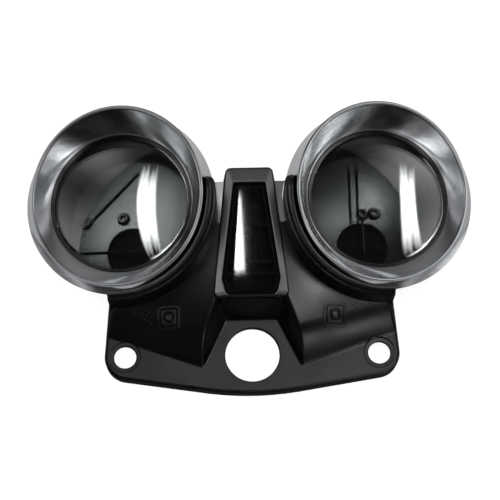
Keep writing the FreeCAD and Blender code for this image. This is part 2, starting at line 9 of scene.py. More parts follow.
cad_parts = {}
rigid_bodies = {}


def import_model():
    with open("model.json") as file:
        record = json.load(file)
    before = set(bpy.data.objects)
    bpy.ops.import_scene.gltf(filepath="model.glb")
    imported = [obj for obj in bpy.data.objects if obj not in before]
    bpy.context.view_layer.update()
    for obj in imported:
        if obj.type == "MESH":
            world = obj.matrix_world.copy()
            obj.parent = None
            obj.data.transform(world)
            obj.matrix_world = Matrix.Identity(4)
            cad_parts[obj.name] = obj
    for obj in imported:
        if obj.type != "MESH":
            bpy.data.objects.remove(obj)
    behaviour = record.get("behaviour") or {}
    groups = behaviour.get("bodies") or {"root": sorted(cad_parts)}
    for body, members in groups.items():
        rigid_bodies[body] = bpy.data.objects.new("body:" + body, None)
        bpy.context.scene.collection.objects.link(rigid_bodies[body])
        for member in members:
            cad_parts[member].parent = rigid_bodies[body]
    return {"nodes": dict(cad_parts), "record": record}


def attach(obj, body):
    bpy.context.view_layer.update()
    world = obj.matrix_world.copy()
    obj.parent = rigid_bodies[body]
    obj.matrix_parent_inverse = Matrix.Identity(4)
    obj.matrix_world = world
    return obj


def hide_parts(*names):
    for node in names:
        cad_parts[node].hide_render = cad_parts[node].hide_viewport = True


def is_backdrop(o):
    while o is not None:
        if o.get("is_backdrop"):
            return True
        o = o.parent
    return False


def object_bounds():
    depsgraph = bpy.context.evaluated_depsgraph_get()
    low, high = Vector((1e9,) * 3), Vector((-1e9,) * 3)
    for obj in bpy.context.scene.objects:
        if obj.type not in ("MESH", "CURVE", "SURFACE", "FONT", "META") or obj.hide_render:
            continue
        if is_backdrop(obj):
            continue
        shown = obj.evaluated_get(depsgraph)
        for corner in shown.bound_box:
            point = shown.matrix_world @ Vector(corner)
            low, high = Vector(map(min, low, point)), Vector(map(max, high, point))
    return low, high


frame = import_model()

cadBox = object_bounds()
mm = 0.001
print("frame loaded,", len(frame["nodes"]), "nodes")


# Driving sizes, in mm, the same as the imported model's.
dial = {"x": 79.5, "y": 86.6, "z": 48.0, "yaw": 6.7, "pitch": -3.6, "lipYaw": 13.6, "lipPitch": -13.7}
plate = {"skirt": 9.0, "wall": 2.5, "noseY": -23.7, "noseRadius": 190.0, "edgeSlope": 8.7,
         "cornerRadius": 14.3, "cornerX": 75.3, "cornerY": 0.2, "sideLean": 4.0, "backY": 44.0,
         "keyRadius": 16.5, "mountRadius": 6.75, "mountSpacing": 154.4, "dishRadius": 9.6, "dishDepth": 0.8}
tower = {"baseY": 22.0, "frontY": 29.2, "frontZ": 26.0, "backY": 107.4, "backZ": 38.0,
         "halfFront": 23.0, "halfBack": 14.2, "lean": 5.0}


# Colours, nodes and materials.

def hexColor(code):
    # sRGB hex to linear: each channel by the sRGB curve
    channels = np.array([int(code[i:i + 2], 16) for i in (1, 3, 5)]) / 255.0
    linear = np.where(channels <= 0.04045, channels / 12.92, ((channels + 0.055) / 1.055) ** 2.4)
    return (*linear.tolist(), 1.0)


def addNode(tree, kind, inputs=None, **settings):
    # one node with its settings; an input is a value or another node's socket
    made = tree.nodes.new("ShaderNode" + kind)
    for name, value in settings.items():
        setattr(made, name, value)
    for name, value in (inputs or {}).items():
        if isinstance(value, bpy.types.NodeSocket):
            tree.links.new(value, made.inputs[name])
        else:
            made.inputs[name].default_value = value
    return made


def startMaterial(name, **values):
    # a Principled surface with its constant values set on its own sockets
    material = bpy.data.materials.new(name)
    material.use_nodes = True
    tree = material.node_tree
    tree.nodes.clear()
    output = addNode(tree, "OutputMaterial")
    surface = addNode(tree, "BsdfPrincipled", {key.replace("_", " "): value for key, value in values.items()})
    tree.links.new(surface.outputs[0], output.inputs[0])
    place = addNode(tree, "TexCoord").outputs["Object"]
    return material, tree, surface, place


def setRamp(ramp, stops):
    # stops are (position, grey value or colour)
    elements = ramp.color_ramp.elements
    while len(elements) < len(stops):
        elements.new(0.5)
    for element, (position, color) in zip(elements, stops):
        element.position = position
        element.color = color if isinstance(color, tuple) else (color, color, color, 1.0)
    return ramp


absMoulding = {"base": "#0c0c0d", "worn": "#161617", "roughness": (0.26, 0.38), "grainSize": 0.5,
               "grainDepth": 0.03}


def mouldedAbs(name, look):
    # black ABS from a spark-eroded mould: fine even grain and soft satin highlights
    material, tree, surface, place = startMaterial(name, IOR=1.54)
    grain = addNode(tree, "TexNoise", {"Vector": place, "Scale": 1000.0 / look["grainSize"] / 2,
                                       "Detail": 3.0, "Roughness": 0.6})
    cloud = addNode(tree, "TexNoise", {"Vector": place, "Scale": 38.0, "Detail": 4.0})
    rough = addNode(tree, "MapRange", {"Value": cloud.outputs["Fac"], "From Min": 0.3, "From Max": 0.7,
                                       "To Min": look["roughness"][0], "To Max": look["roughness"][1]})
    tint = setRamp(addNode(tree, "ValToRGB", {"Fac": cloud.outputs["Fac"]}),
                   [(0.35, hexColor(look["base"])), (0.75, hexColor(look["worn"]))])
    bump = addNode(tree, "Bump", {"Height": grain.outputs["Fac"], "Strength": 0.5,
                                  "Distance": look["grainDepth"] * mm})
    tree.links.new(tint.outputs["Color"], surface.inputs["Base Color"])
    tree.links.new(rough.outputs["Result"], surface.inputs["Roughness"])
    tree.links.new(bump.outputs["Normal"], surface.inputs["Normal"])
    return material


chromeLook = {"color": "#d6d8db", "roughness": (0.13, 0.24), "waveSize": 9.0}


def chromePlate(name, look):
    # bright chrome on moulded plastic: mirror-like, with faint handling haze and a slight moulding waviness
    material, tree, surface, place = startMaterial(name, Metallic=1.0, Base_Color=hexColor(look["color"]))
    haze = addNode(tree, "TexNoise", {"Vector": place, "Scale": 55.0, "Detail": 6.0, "Roughness": 0.7})
    rough = addNode(tree, "MapRange", {"Value": haze.outputs["Fac"], "From Min": 0.42, "From Max": 0.72,
                                       "To Min": look["roughness"][0], "To Max": look["roughness"][1]})
    wave = addNode(tree, "TexNoise", {"Vector": place, "Scale": 1000.0 / look["waveSize"], "Detail": 1.0})
    bump = addNode(tree, "Bump", {"Height": wave.outputs["Fac"], "Strength": 0.25, "Distance": 0.6 * mm})
    tree.links.new(rough.outputs["Result"], surface.inputs["Roughness"])
    tree.links.new(bump.outputs["Normal"], surface.inputs["Normal"])
    return material


def castAcrylic(name, tint, polish):
    # thin cast acrylic sheet: what lies behind shows through its tint, and each face mirrors by Fresnel
    material = bpy.data.materials.new(name)
    material.use_nodes = True
    tree = material.node_tree
    tree.nodes.clear()
    place = addNode(tree, "TexCoord").outputs["Object"]
    dust = addNode(tree, "TexNoise", {"Vector": place, "Scale": 900.0, "Detail": 5.0, "Roughness": 0.75})
    rough = addNode(tree, "MapRange", {"Value": dust.outputs["Fac"], "From Min": 0.55, "From Max": 0.8,
                                       "To Min": polish, "To Max": polish + 0.12})
    clear = addNode(tree, "BsdfTransparent", {"Color": hexColor(tint)})
    gloss = addNode(tree, "BsdfGlossy", {"Color": hexColor("#ffffff"), "Roughness": rough.outputs["Result"]})
    mirror = addNode(tree, "Fresnel", {"IOR": 1.49})
    sheet = addNode(tree, "MixShader", {0: mirror.outputs[0], 1: clear.outputs[0], 2: gloss.outputs[0]})
    addNode(tree, "OutputMaterial", {"Surface": sheet.outputs[0]})
    return material


def blackRubber(name):
    # moulded nitrile rubber: matt, slightly dusty
    material, tree, surface, place = startMaterial(name, IOR=1.52, Sheen_Weight=0.15)
    dust = addNode(tree, "TexNoise", {"Vector": place, "Scale": 420.0, "Detail": 5.0})
    tint = setRamp(addNode(tree, "ValToRGB", {"Fac": dust.outputs["Fac"]}),
                   [(0.4, hexColor("#101010")), (0.8, hexColor("#1f1f1f"))])
    rough = addNode(tree, "MapRange", {"Value": dust.outputs["Fac"], "To Min": 0.62, "To Max": 0.82})
    tree.links.new(tint.outputs["Color"], surface.inputs["Base Color"])
    tree.links.new(rough.outputs["Result"], surface.inputs["Roughness"])
    return material


def zincSteel(name):
    # zinc-plated screw steel: pale, slightly yellow, finely scuffed
    material, tree, surface, place = startMaterial(name, Metallic=1.0)
    scuff = addNode(tree, "TexNoise", {"Vector": place, "Scale": 900.0, "Detail": 4.0})
    tint = setRamp(addNode(tree, "ValToRGB", {"Fac": scuff.outputs["Fac"]}),
                   [(0.3, hexColor("#9a9a94")), (0.8, hexColor("#c9c7b8"))])
    rough = addNode(tree, "MapRange", {"Value": scuff.outputs["Fac"], "To Min": 0.24, "To Max": 0.46})
    tree.links.new(tint.outputs["Color"], surface.inputs["Base Color"])
    tree.links.new(rough.outputs["Result"], surface.inputs["Roughness"])
    return material


absBlack = mouldedAbs("absBlackSatin", absMoulding)
ringBlack = mouldedAbs("absRingGloss", dict(absMoulding, base="#101011", worn="#1a1a1b",
                                            roughness=(0.14, 0.22), grainDepth=0.008))
cupBlack = mouldedAbs("polypropyleneCup", dict(absMoulding, base="#101011", worn="#1b1b1c",
                                               roughness=(0.1, 0.16), grainDepth=0.008))
lampGrey = mouldedAbs("polycarbonateLampBox", dict(absMoulding, base="#2b2b2c", worn="#3a3a3b",
                                                   roughness=(0.3, 0.45), grainDepth=0.02))
chrome = chromePlate("chromePlatedPlastic", chromeLook)
acrylic = castAcrylic("castAcrylicClear", "#f6f8f8", 0.02)
smoked = castAcrylic("castAcrylicSmoked", "#77777a", 0.03)
rubber = blackRubber("nitrileRubber")
zinc = zincSteel("zincPlatedSteel")
print("materials made")


# Mesh helpers.

def finishMesh(name, mesh, material, nodes, sharpAngle=35.0, weld=False):
    # smooth shading with sharp edges, material, body and the imported nodes that the piece stands for
    if weld:
        work = bmesh.new()
        work.from_mesh(mesh)
        bmesh.ops.remove_doubles(work, verts=work.verts, dist=1e-7)
        bmesh.ops.recalc_face_normals(work, faces=work.faces)
        work.to_mesh(mesh)
        work.free()
    mesh.polygons.foreach_set("use_smooth", np.ones(len(mesh.polygons), dtype=bool))
    mesh.set_sharp_from_angle(angle=math.radians(sharpAngle))
    piece = bpy.data.objects.new(name, mesh)
    bpy.context.scene.collection.objects.link(piece)
    mesh.materials.append(material)
    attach(piece, "root")
    if nodes:
        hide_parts(*nodes)
    return piece


def gridPiece(name, points, material, slot, nodes=(), wrapU=True, wrapV=True, capEnds=False,
              sharpAngle=35.0, weld=True, flip=False):
    # points[u, v] in mm become quads; each direction may close on itself, and open ends may get caps
    countU, countV = points.shape[:2]
    index = np.arange(countU * countV).reshape(countU, countV)
    nextU = np.roll(index, -1, axis=0) if wrapU else index[1:]
    first = index if wrapU else index[:-1]
    if wrapV:
        quads = np.stack([first, nextU, np.roll(nextU, -1, axis=1), np.roll(first, -1, axis=1)], axis=-1)
    else:
        quads = np.stack([first[:, :-1], nextU[:, :-1], nextU[:, 1:], first[:, 1:]], axis=-1)
    quads = quads.reshape(-1, 4)
    if flip:
        quads = quads[:, ::-1]
    faces = quads.tolist()
    if capEnds:
        faces += [index[0].tolist(), index[-1][::-1].tolist()]
    mesh = bpy.data.meshes.new(name)
    mesh.from_pydata((points.reshape(-1, 3) * mm).tolist(), [], faces)
    return finishMesh(name, mesh, material, nodes, sharpAngle, weld)


def pathPoints(corners, radii, perArc=10, perSide=12):
    # closed outline with straight sides and round corners: an arc at each corner, evenly spaced sides between
    corners = np.array(corners, dtype=float)
    runs = []
    arcs = []
    befores, afters = np.roll(corners, 1, axis=0), np.roll(corners, -1, axis=0)
    for here, before, after, radius in zip(corners, befores, afters, radii):
        inward = (before - here) / np.linalg.norm(before - here)
        outward = (after - here) / np.linalg.norm(after - here)
        half = math.acos(np.clip(inward @ outward, -1, 1)) / 2
        reach = radius / math.tan(half)
        start, end = here + inward * reach, here + outward * reach
        middle = (inward + outward) / np.linalg.norm(inward + outward)
        centre = here + middle * radius / math.sin(half)
        first, last = (math.atan2(*(p - centre)[::-1]) for p in (start, end))
        turn = (last - first + math.pi) % (2 * math.pi) - math.pi
        angles = first + turn * np.linspace(0, 1, perArc)
        arcs.append(centre + radius * np.stack([np.cos(angles), np.sin(angles)], axis=-1))
    for arc, following in zip(arcs, arcs[1:] + arcs[:1]):
        share = np.linspace(0, 1, perSide + 2)[1:-1, None]
        runs += [arc, arc[-1] * (1 - share) + following[0] * share]
    return np.concatenate(runs)


def pathNormals(path):
    # outward normal at each point of a closed outline that runs counter-clockwise
    along = np.roll(path, -1, axis=0) - np.roll(path, 1, axis=0)
    along /= np.linalg.norm(along, axis=1, keepdims=True)
    return np.stack([along[:, 1], -along[:, 0]], axis=-1)


def pathDistance(x, y, path):
    # signed distance to a closed outline, the least over its sides: negative inside, by counting crossings
    best = np.full(x.shape, 1e9)
    inside = np.zeros(x.shape, dtype=bool)
    for (ax, ay), (bx, by) in zip(path, np.roll(path, -1, axis=0)):
        dx, dy = bx - ax, by - ay
        share = np.clip(((x - ax) * dx + (y - ay) * dy) / (dx * dx + dy * dy + 1e-12), 0, 1)
        best = np.minimum(best, np.hypot(x - ax - share * dx, y - ay - share * dy))
        crosses = (ay > y) != (by > y)
        inside ^= crosses & (x < ax + (y - ay) * dx / (dy if abs(dy) > 1e-12 else 1e-12))
    return np.where(inside, -best, best)


def fieldPiece(name, xs, ys, edge, height, material, nodes=(), thickness=0.0, place=None,
               sharpAngle=35.0):
    # a sheet z = height(x, y) over the region where edge(x, y) < 0; its border points slide onto the edge
    x, y = np.meshgrid(xs, ys, indexing="ij")
    away = edge(x, y)
    step = 0.02      # for the slope of the edge function
    reach = 1.6 * max(np.diff(xs).max(), np.diff(ys).max())
    for _ in range(2):
        gradX = (edge(x + step, y) - edge(x - step, y)) / (2 * step)
        gradY = (edge(x, y + step) - edge(x, y - step)) / (2 * step)
        size = np.maximum(gradX ** 2 + gradY ** 2, 1e-6)
        move = (away > 0) & (away < reach)
        x = np.where(move, x - away * gradX / size, x)
        y = np.where(move, y - away * gradY / size, y)
        away = np.where(move, edge(x, y), away)
    z = height(x, y)
    good = away < 0.05
    keep = good[:-1, :-1] & good[1:, :-1] & good[1:, 1:] & good[:-1, 1:]
    index = np.arange(x.size).reshape(x.shape)
    quads = np.stack([index[:-1, :-1], index[1:, :-1], index[1:, 1:], index[:-1, 1:]], axis=-1)[keep]
    used = np.unique(quads)
    remap = np.zeros(x.size, dtype=int)
    remap[used] = np.arange(used.size)
    points = np.stack([x, y, z], axis=-1).reshape(-1, 3)[used]
    if place is not None:
        points = place(points)
    mesh = bpy.data.meshes.new(name)
    mesh.from_pydata((points * mm).tolist(), [], remap[quads].tolist())
    piece = finishMesh(name, mesh, material, nodes, sharpAngle)
    if thickness:
        solid = piece.modifiers.new("thickness", "SOLIDIFY")
        solid.thickness = thickness * mm
        solid.offset = -1.0
        solid.use_even_offset = False
    return piece


# The dial's own frame.

def direction(yaw, pitch):
    # unit vector leaning outwards by the yaw and forwards by the pitch, in degrees
    yaw, pitch = math.radians(yaw), math.radians(pitch)
    return Vector((math.sin(yaw), math.sin(pitch) * math.cos(yaw), math.cos(pitch) * math.cos(yaw)))


dialAxis = direction(dial["yaw"], dial["pitch"])
dialTurn = Vector((0, 0, 1)).rotation_difference(dialAxis).to_matrix()
lipNormal = dialTurn.inverted() @ direction(dial["lipYaw"], dial["lipPitch"])
turnArray = np.array(dialTurn)
dialCentre = np.array([dial["x"], dial["y"], dial["z"]])


def toPart(side):
    # from the right-hand dial's frame to the part's; the left dial is its mirror image
    def place(points):
        moved = points @ turnArray.T + dialCentre
        return moved * np.array([side, 1, 1])
    return place


def lipSlope(angle):
    # rise of the lip plane per mm of radius, at an angle round the dial
    return -(lipNormal.x * np.cos(angle) + lipNormal.y * np.sin(angle)) / lipNormal.z


def turned(name, profile, side, material, slot, nodes=(), steps=160, closed=True, **extra):
    # a profile (radius, height) carried round the dial axis
    angle = np.linspace(0, 2 * math.pi, steps, endpoint=False)
    radius, height = profile[:, 0][None], profile[:, 1][None]
    ring = np.stack([radius * np.cos(angle)[:, None], radius * np.sin(angle)[:, None],
                     height + 0 * angle[:, None]], axis=-1)
    return gridPiece(name, toPart(side)(ring), material, slot, nodes, wrapV=closed, **extra)


def arcPoints(cx, cy, radius, start, end, count):
    # evenly spaced points on an arc between two angles in degrees
    turn = np.radians(np.linspace(start, end, count))
    return np.stack([cx + radius * np.cos(turn), cy + radius * np.sin(turn)], axis=-1)


def runPoints(*corners, count=4):
    # evenly spaced points along straight runs
    corners = np.array(corners, dtype=float)
    share = np.linspace(0, 1, count, endpoint=False)[:, None]
    runs = [a * (1 - share) + b * share for a, b in zip(corners[:-1], corners[1:])]
    return np.concatenate(runs + [corners[-1:]])


# Chromed bezels.

bezel = {"lip": 53.2, "bead": 1.1, "opening": 43.1, "openingDepth": 15.6, "skirt": 57.2, "skirtDepth": 13.4,
         "back": 55.6, "backDepth": 17.0, "counterbore": 46.4, "bowl": 1.22, "spread": 0.93,
         "openingLip": 0.4, "openingEase": 0.3, "flare": 0.35}


def bezelPoints(steps=240):
    # section at each angle: rolled bead on the leaning lip, bowl-shaped funnel, opening, back face and
    # flared skirt
    angle = np.linspace(0, 2 * math.pi, steps, endpoint=False)[:, None]
    slope = lipSlope(angle)
    centre = bezel["lip"] - bezel["bead"]
    beadZ = slope * centre - bezel["bead"] + 0.5
    bead = np.radians(np.linspace(-25, 205, 15))[None]
    parts = [(centre + bezel["bead"] * np.cos(bead) + 0 * angle, beadZ + bezel["bead"] * np.sin(bead))]
    funnelTopR = centre + bezel["bead"] * math.cos(bead[0, -1])
    funnelTopZ = beadZ + bezel["bead"] * math.sin(bead[0, -1])
    down = np.linspace(1, 0, 26)[1:][None]
    funnelBottomR = bezel["opening"] + bezel["openingEase"]
    funnelBottomZ = -bezel["openingDepth"] + 0.35
    parts.append((funnelBottomR + (funnelTopR - funnelBottomR) * down ** bezel["spread"] + 0 * angle,
                  funnelBottomZ + (funnelTopZ - funnelBottomZ) * down ** bezel["bowl"]))
    lipZ = -bezel["openingDepth"] - bezel["openingLip"]
    fixed = runPoints((bezel["opening"], -bezel["openingDepth"]), (bezel["opening"], lipZ),
                      (bezel["counterbore"], lipZ),
                      (bezel["counterbore"], -bezel["backDepth"]), (bezel["back"], -bezel["backDepth"]),
                      count=3)
    parts.append((fixed[:, 0][None] + 0 * angle, fixed[:, 1][None] + 0 * angle))
    foot = arcPoints(bezel["skirt"] - 1.0, -bezel["skirtDepth"] - 0.6, 1.0, -60, 8, 6)
    parts.append((foot[:, 0][None] + 0 * angle, foot[:, 1][None] + 0 * angle))
    rise = np.linspace(0, 1, 22)[1:-1][None]
    topR = centre + bezel["bead"] * math.cos(bead[0, 0])
    topZ = beadZ + bezel["bead"] * math.sin(bead[0, 0])
    flare = bezel["flare"] * np.sin(math.pi * rise)
    parts.append((foot[-1, 0] + (topR - foot[-1, 0]) * rise - flare + 0 * angle,
                  foot[-1, 1] + (topZ - foot[-1, 1]) * rise))
    radius = np.concatenate([p[0] for p in parts], axis=1)
    height = np.concatenate([p[1] for p in parts], axis=1)
    return np.stack([radius * np.cos(angle), radius * np.sin(angle), height], axis=-1)


for sideName, side in (("left", -1), ("right", 1)):
    gridPiece(sideName + "BezelShell", toPart(side)(bezelPoints()), chrome, "chrome_trim",
              [sideName + "_bezel"], sharpAngle=50.0)
print("bezels made")


# Rings and lenses.

ringLook = {"outer": 46.0, "inner": 40.7, "top": 16.1, "thick": 1.2, "bead": 0.35}
lensLook = {"radius": 46.0, "thick": 2.0, "top": 17.3, "crown": 2.4, "rim": 40.2}
lensSphere = (lensLook["rim"] ** 2 + lensLook["crown"] ** 2) / (2 * lensLook["crown"])


def ringProfile():
    # flat black ring with a small raised bead near each edge
    top = -ringLook["top"]
    outer, inner, bead = ringLook["outer"], ringLook["inner"], ringLook["bead"]
    return np.concatenate([runPoints((outer, top - ringLook["thick"]), (outer, top - 0.1), (42.9, top)),
                           arcPoints(42.4, top, bead, 10, 170, 6),
                           runPoints((41.9, top - 0.12), (inner + 0.9, top - 0.2)),
                           arcPoints(inner + 0.5, top - 0.25, bead, 60, 180, 6),
                           runPoints((inner, top - 0.6), (inner, top - ringLook["thick"]))])


def lensProfile():
    # flat rim and a low dome of even thickness, from the axis out and back to the axis
    radius = np.linspace(0, lensLook["rim"], 28)
    dome = np.sqrt(lensSphere ** 2 - radius ** 2) - lensSphere + lensLook["crown"] - lensLook["top"]
    top = np.stack([radius, dome], axis=-1)
    rim = runPoints((lensLook["rim"] + 0.8, -lensLook["top"]), (lensLook["radius"], -lensLook["top"]),
                    (lensLook["radius"], -lensLook["top"] - lensLook["thick"]),
                    (lensLook["rim"] + 0.8, -lensLook["top"] - lensLook["thick"]), count=3)
    return np.concatenate([top, rim, (top - np.array([0, lensLook["thick"]]))[::-1]])


for sideName, side in (("left", -1), ("right", 1)):
    turned(sideName + "LensRing", ringProfile(), side, ringBlack, "ring_black", [sideName + "_retainer_ring"])
    turned(sideName + "DomedLens", lensProfile(), side, acrylic, "clear_lens", [sideName + "_lens"],
           closed=False, sharpAngle=60.0)
print("rings and lenses made")


# Rear cups and what is moulded on their floors.

cup = {"flange": 54.0, "flangeTop": 18.0, "flangeThick": 3.0, "wallTop": 48.8, "wallBack": 46.4,
       "floor": 42.0, "floorThick": 2.6, "socket": 46.2, "ledge": 20.5, "ledgeLip": 4.0, "seal": 42.6,
       "inner": 42.4, "wellDepth": 7.0, "wellWall": 1.8, "ribHeight": 2.5, "ribWidth": 1.0}
floors = {
    "left": {"side": -1, "bosses": [(26.9, -4.5), (3.4, -3.0)], "well": (-2.3, -25.0), "wellRadius": 15.5,
             "ribs": [((22.5, -2.4), (-6.0, 26.0)), ((30.0, -23.8), (-12.0, -23.8)),
                      ((-6.0, -23.8), (-6.0, -38.0))]},
    "right": {"side": 1, "bosses": [(-4.7, -3.2), (2.9, -2.4)], "well": (-5.4, -24.6), "wellRadius": 15.6,
              "ribs": [((-12.0, 25.0), (-12.0, -8.5)), ((-7.2, 25.0), (-7.2, -8.5)),
                       ((-4.5, -7.0), (-4.5, -38.0)), ((-11.0, -24.3), (11.0, -24.3))]},
}


def cupProfile():
    # flange, socket for the lens, ledge, inner wall with a rounded foot, and the tapered outside
    back = cup["floor"] + cup["floorThick"]
    inner = runPoints((cup["flange"], -cup["flangeTop"]), (cup["socket"], -cup["flangeTop"]),
                      (cup["socket"], -cup["ledge"]), (cup["seal"], -cup["ledge"]),
                      (cup["seal"], -cup["ledge"] - cup["ledgeLip"]), (44.4, -cup["ledge"] - cup["ledgeLip"]),
                      (cup["inner"] + 0.6, -cup["floor"] + 4.0), count=3)
    foot = arcPoints(cup["inner"] - 2.4, -cup["floor"] + 3.0, 3.0, 0, -90, 8)
    under = runPoints((cup["inner"] - 3.4, -cup["floor"] - 0.3), (cup["inner"] - 3.4, -back + 0.2),
                      (cup["inner"] - 2.4, -back), (cup["wallBack"] - 2.0, -back), count=2)
    corner = arcPoints(cup["wallBack"] - 2.0, -back + 2.0, 2.0, -90, 0, 8)
    low = cup["flangeTop"] + cup["flangeThick"]
    outside = runPoints((cup["wallTop"] - 0.2, -low - 0.8), (cup["wallTop"] + 0.6, -low),
                        (cup["flange"] - 0.6, -low), (cup["flange"], -low + 0.6), count=3)
    return np.concatenate([inner, foot, under, corner, outside])


def circleEdge(cx, cy, radius, inside=True):
    # distance to a circle, negative inside it, or outside it
    sign = 1 if inside else -1
    return lambda x, y: sign * (np.hypot(x - cx, y - cy) - radius)


def bothEdges(*edges):
    # the greatest of several distances: the region inside them all
    return lambda x, y: np.maximum.reduce([edge(x, y) for edge in edges])


def wellProfile(radius):
    # closed round well under the floor, from its rim round its bottom to its outside
    top, bottom = -cup["floor"], -cup["floor"] - cup["wellDepth"]
    outer = radius + cup["wellWall"]
    inside = np.concatenate([runPoints((radius + 0.6, top + 0.02), (radius + 0.2, top - 0.2),
                                       (radius, top - 0.7), (radius, bottom + 1.5), count=2),
                             arcPoints(radius - 1.5, bottom + 1.5, 1.5, 0, -90, 6), [[0, bottom]]])
    outside = np.concatenate([[[0, bottom - cup["wellWall"]]],
                              arcPoints(outer - 1.2, bottom - cup["wellWall"] + 1.2, 1.2, -90, 0, 6),
                              [[outer, top - cup["floorThick"] + 0.3]]])
    return np.concatenate([inside, outside])


def offCentre(profile, centre, steps=72):
    # a profile (radius, height) carried round an upright axis away from the middle
    angle = np.linspace(0, 2 * math.pi, steps, endpoint=False)[:, None]
    return np.stack([centre[0] + profile[:, 0] * np.cos(angle), centre[1] + profile[:, 0] * np.sin(angle),
                     profile[:, 1] + 0 * angle], axis=-1)


boss = {"outer": 3.2, "hole": 1.3, "height": 3.5}


def bossProfile():
    # ring boss with a rounded rim and a blind pilot hole, flared at its foot
    outer, hole = boss["outer"], boss["hole"]
    base, top = -cup["floor"], -cup["floor"] + boss["height"]
    return np.concatenate([[[outer + 1.0, base - 0.05], [outer + 0.3, base + 0.3], [outer, base + 1.2]],
                           arcPoints(outer - 0.5, top - 0.5, 0.5, 0, 90, 5),
                           arcPoints(hole + 0.3, top - 0.3, 0.3, 90, 180, 4),
                           [[hole, base + 1.0], [0.0, base + 1.0]]])


def ribPoints(start, end):
    # thin upright rib with drafted sides and a rounded top, along a straight run on the floor
    start, end = np.array(start), np.array(end)
    along = (end - start) / np.linalg.norm(end - start)
    across = np.array([along[1], -along[0]])
    half, height = cup["ribWidth"] / 2, cup["ribHeight"]
    section = np.concatenate([[[half + 0.35, -0.3], [half + 0.1, 0.4]],
                              arcPoints(0, height - half, half, 0, 180, 7),
                              [[-half - 0.1, 0.4], [-half - 0.35, -0.3]]])
    share = np.linspace(0, 1, 12)[:, None, None]
    line = start + (end - start) * share + across * section[None, :, :1]
    heights = -cup["floor"] + section[None, :, 1:] + 0 * share
    return np.concatenate([line, heights], axis=-1)


for sideName, look in floors.items():
    side = look["side"]
    place = toPart(side)
    wellX, wellY = look["well"]
    turned(sideName + "CupShell", cupProfile(), side, cupBlack, "cup_black", [sideName + "_rear_cup"])
    span = np.arange(-41.2, 41.3, 1.0)
    floorEdge = bothEdges(circleEdge(0, 0, cup["inner"] - 2.2),
                          circleEdge(wellX, wellY, look["wellRadius"] + 0.4, inside=False))
    fieldPiece(sideName + "CupFloor", span, span, floorEdge, lambda x, y: 0 * x - cup["floor"], cupBlack,
               thickness=cup["floorThick"] * side, place=place)
    gridPiece(sideName + "DriveWell", place(offCentre(wellProfile(look["wellRadius"]), look["well"])),
              cupBlack, "cup_black", wrapV=False)
    for number, spot in enumerate(look["bosses"]):
        gridPiece(sideName + "FloorBoss" + str(number + 1), place(offCentre(bossProfile(), spot, 40)),
                  cupBlack, "cup_black", wrapV=False)
    for number, (start, end) in enumerate(look["ribs"]):
        gridPiece(sideName + "FloorRib" + str(number + 1), place(ribPoints(start, end)), cupBlack,
                  "cup_black", wrapU=False, capEnds=True)
print("cups made")


# Front cover.

cover = {"edgeRound": 1.3, "peak": (24.0, 30.0, 23.0), "fallOut": 0.17, "fallFront": 0.25,
         "saddle": (20.0, 50.0, 25.5), "saddleOut": 0.05, "saddleFront": 0.03, "saddleBackY": 102.0,
         "frontBase": ((29.7, -7.3), (85.3, 12.0)), "innerBase": ((18.0, 17.3), (29.7, -7.3)),
         "frontAngle": 52.0, "innerAngle": 71.0, "endAngle": 74.0, "roundTop": 6.0, "roundFront": 9.0,
         "roundInner": 4.5, "roundEnd": 3.5, "boreRadius": 59.4}
emblem = {"centre": (50.0, 19.8), "half": 8.2, "round": 4.0, "stud": 1.8}
hatch = {"corners": ((58.9, 28.6), (58.9, 12.0), (84.4, 28.6)), "pitch": 2.25, "height": 0.6, "groove": 0.5}
ornamentGrid, ornamentDepth = 0.22, 0.4      # spacing of the fine mesh and its thickness


def smoothLow(a, b, rounding):
    # lower of two heights with a rounded corner where they meet
    blend = np.maximum(rounding - np.abs(a - b), 0)
    return np.minimum(a, b) - blend ** 2 / (4 * rounding)


def smoothHigh(a, b, rounding):
    # higher of two heights with a rounded corner where they meet
    return -smoothLow(-a, -b, rounding)


def baseDistance(x, y, base):
    # distance to the left of a line through two points
    (x0, y0), (x1, y1) = base
    length = math.hypot(x1 - x0, y1 - y0)
    return ((y - y0) * (x1 - x0) - (x - x0) * (y1 - y0)) / length


def sideEdgeX(y):
    # half width of the plate at y, along its leaning side edge
    lean = math.radians(plate["sideLean"])
    return (plate["cornerX"] + plate["cornerRadius"] * math.cos(lean)
            - (y - plate["cornerY"] - plate["cornerRadius"] * math.sin(lean)) * math.tan(lean))


towerLength = tower["backY"] - tower["frontY"]
rimSlope = (tower["backZ"] - tower["frontZ"]) / towerLength


def rimHeight(y):
    # the rim climbs in a straight line towards its back end
    return tower["frontZ"] + (y - tower["frontY"]) * rimSlope


def towerHalf(y):
    # half width of the rim, which narrows in a straight line
    return tower["halfFront"] + (y - tower["frontY"]) * (tower["halfBack"] - tower["halfFront"]) / towerLength


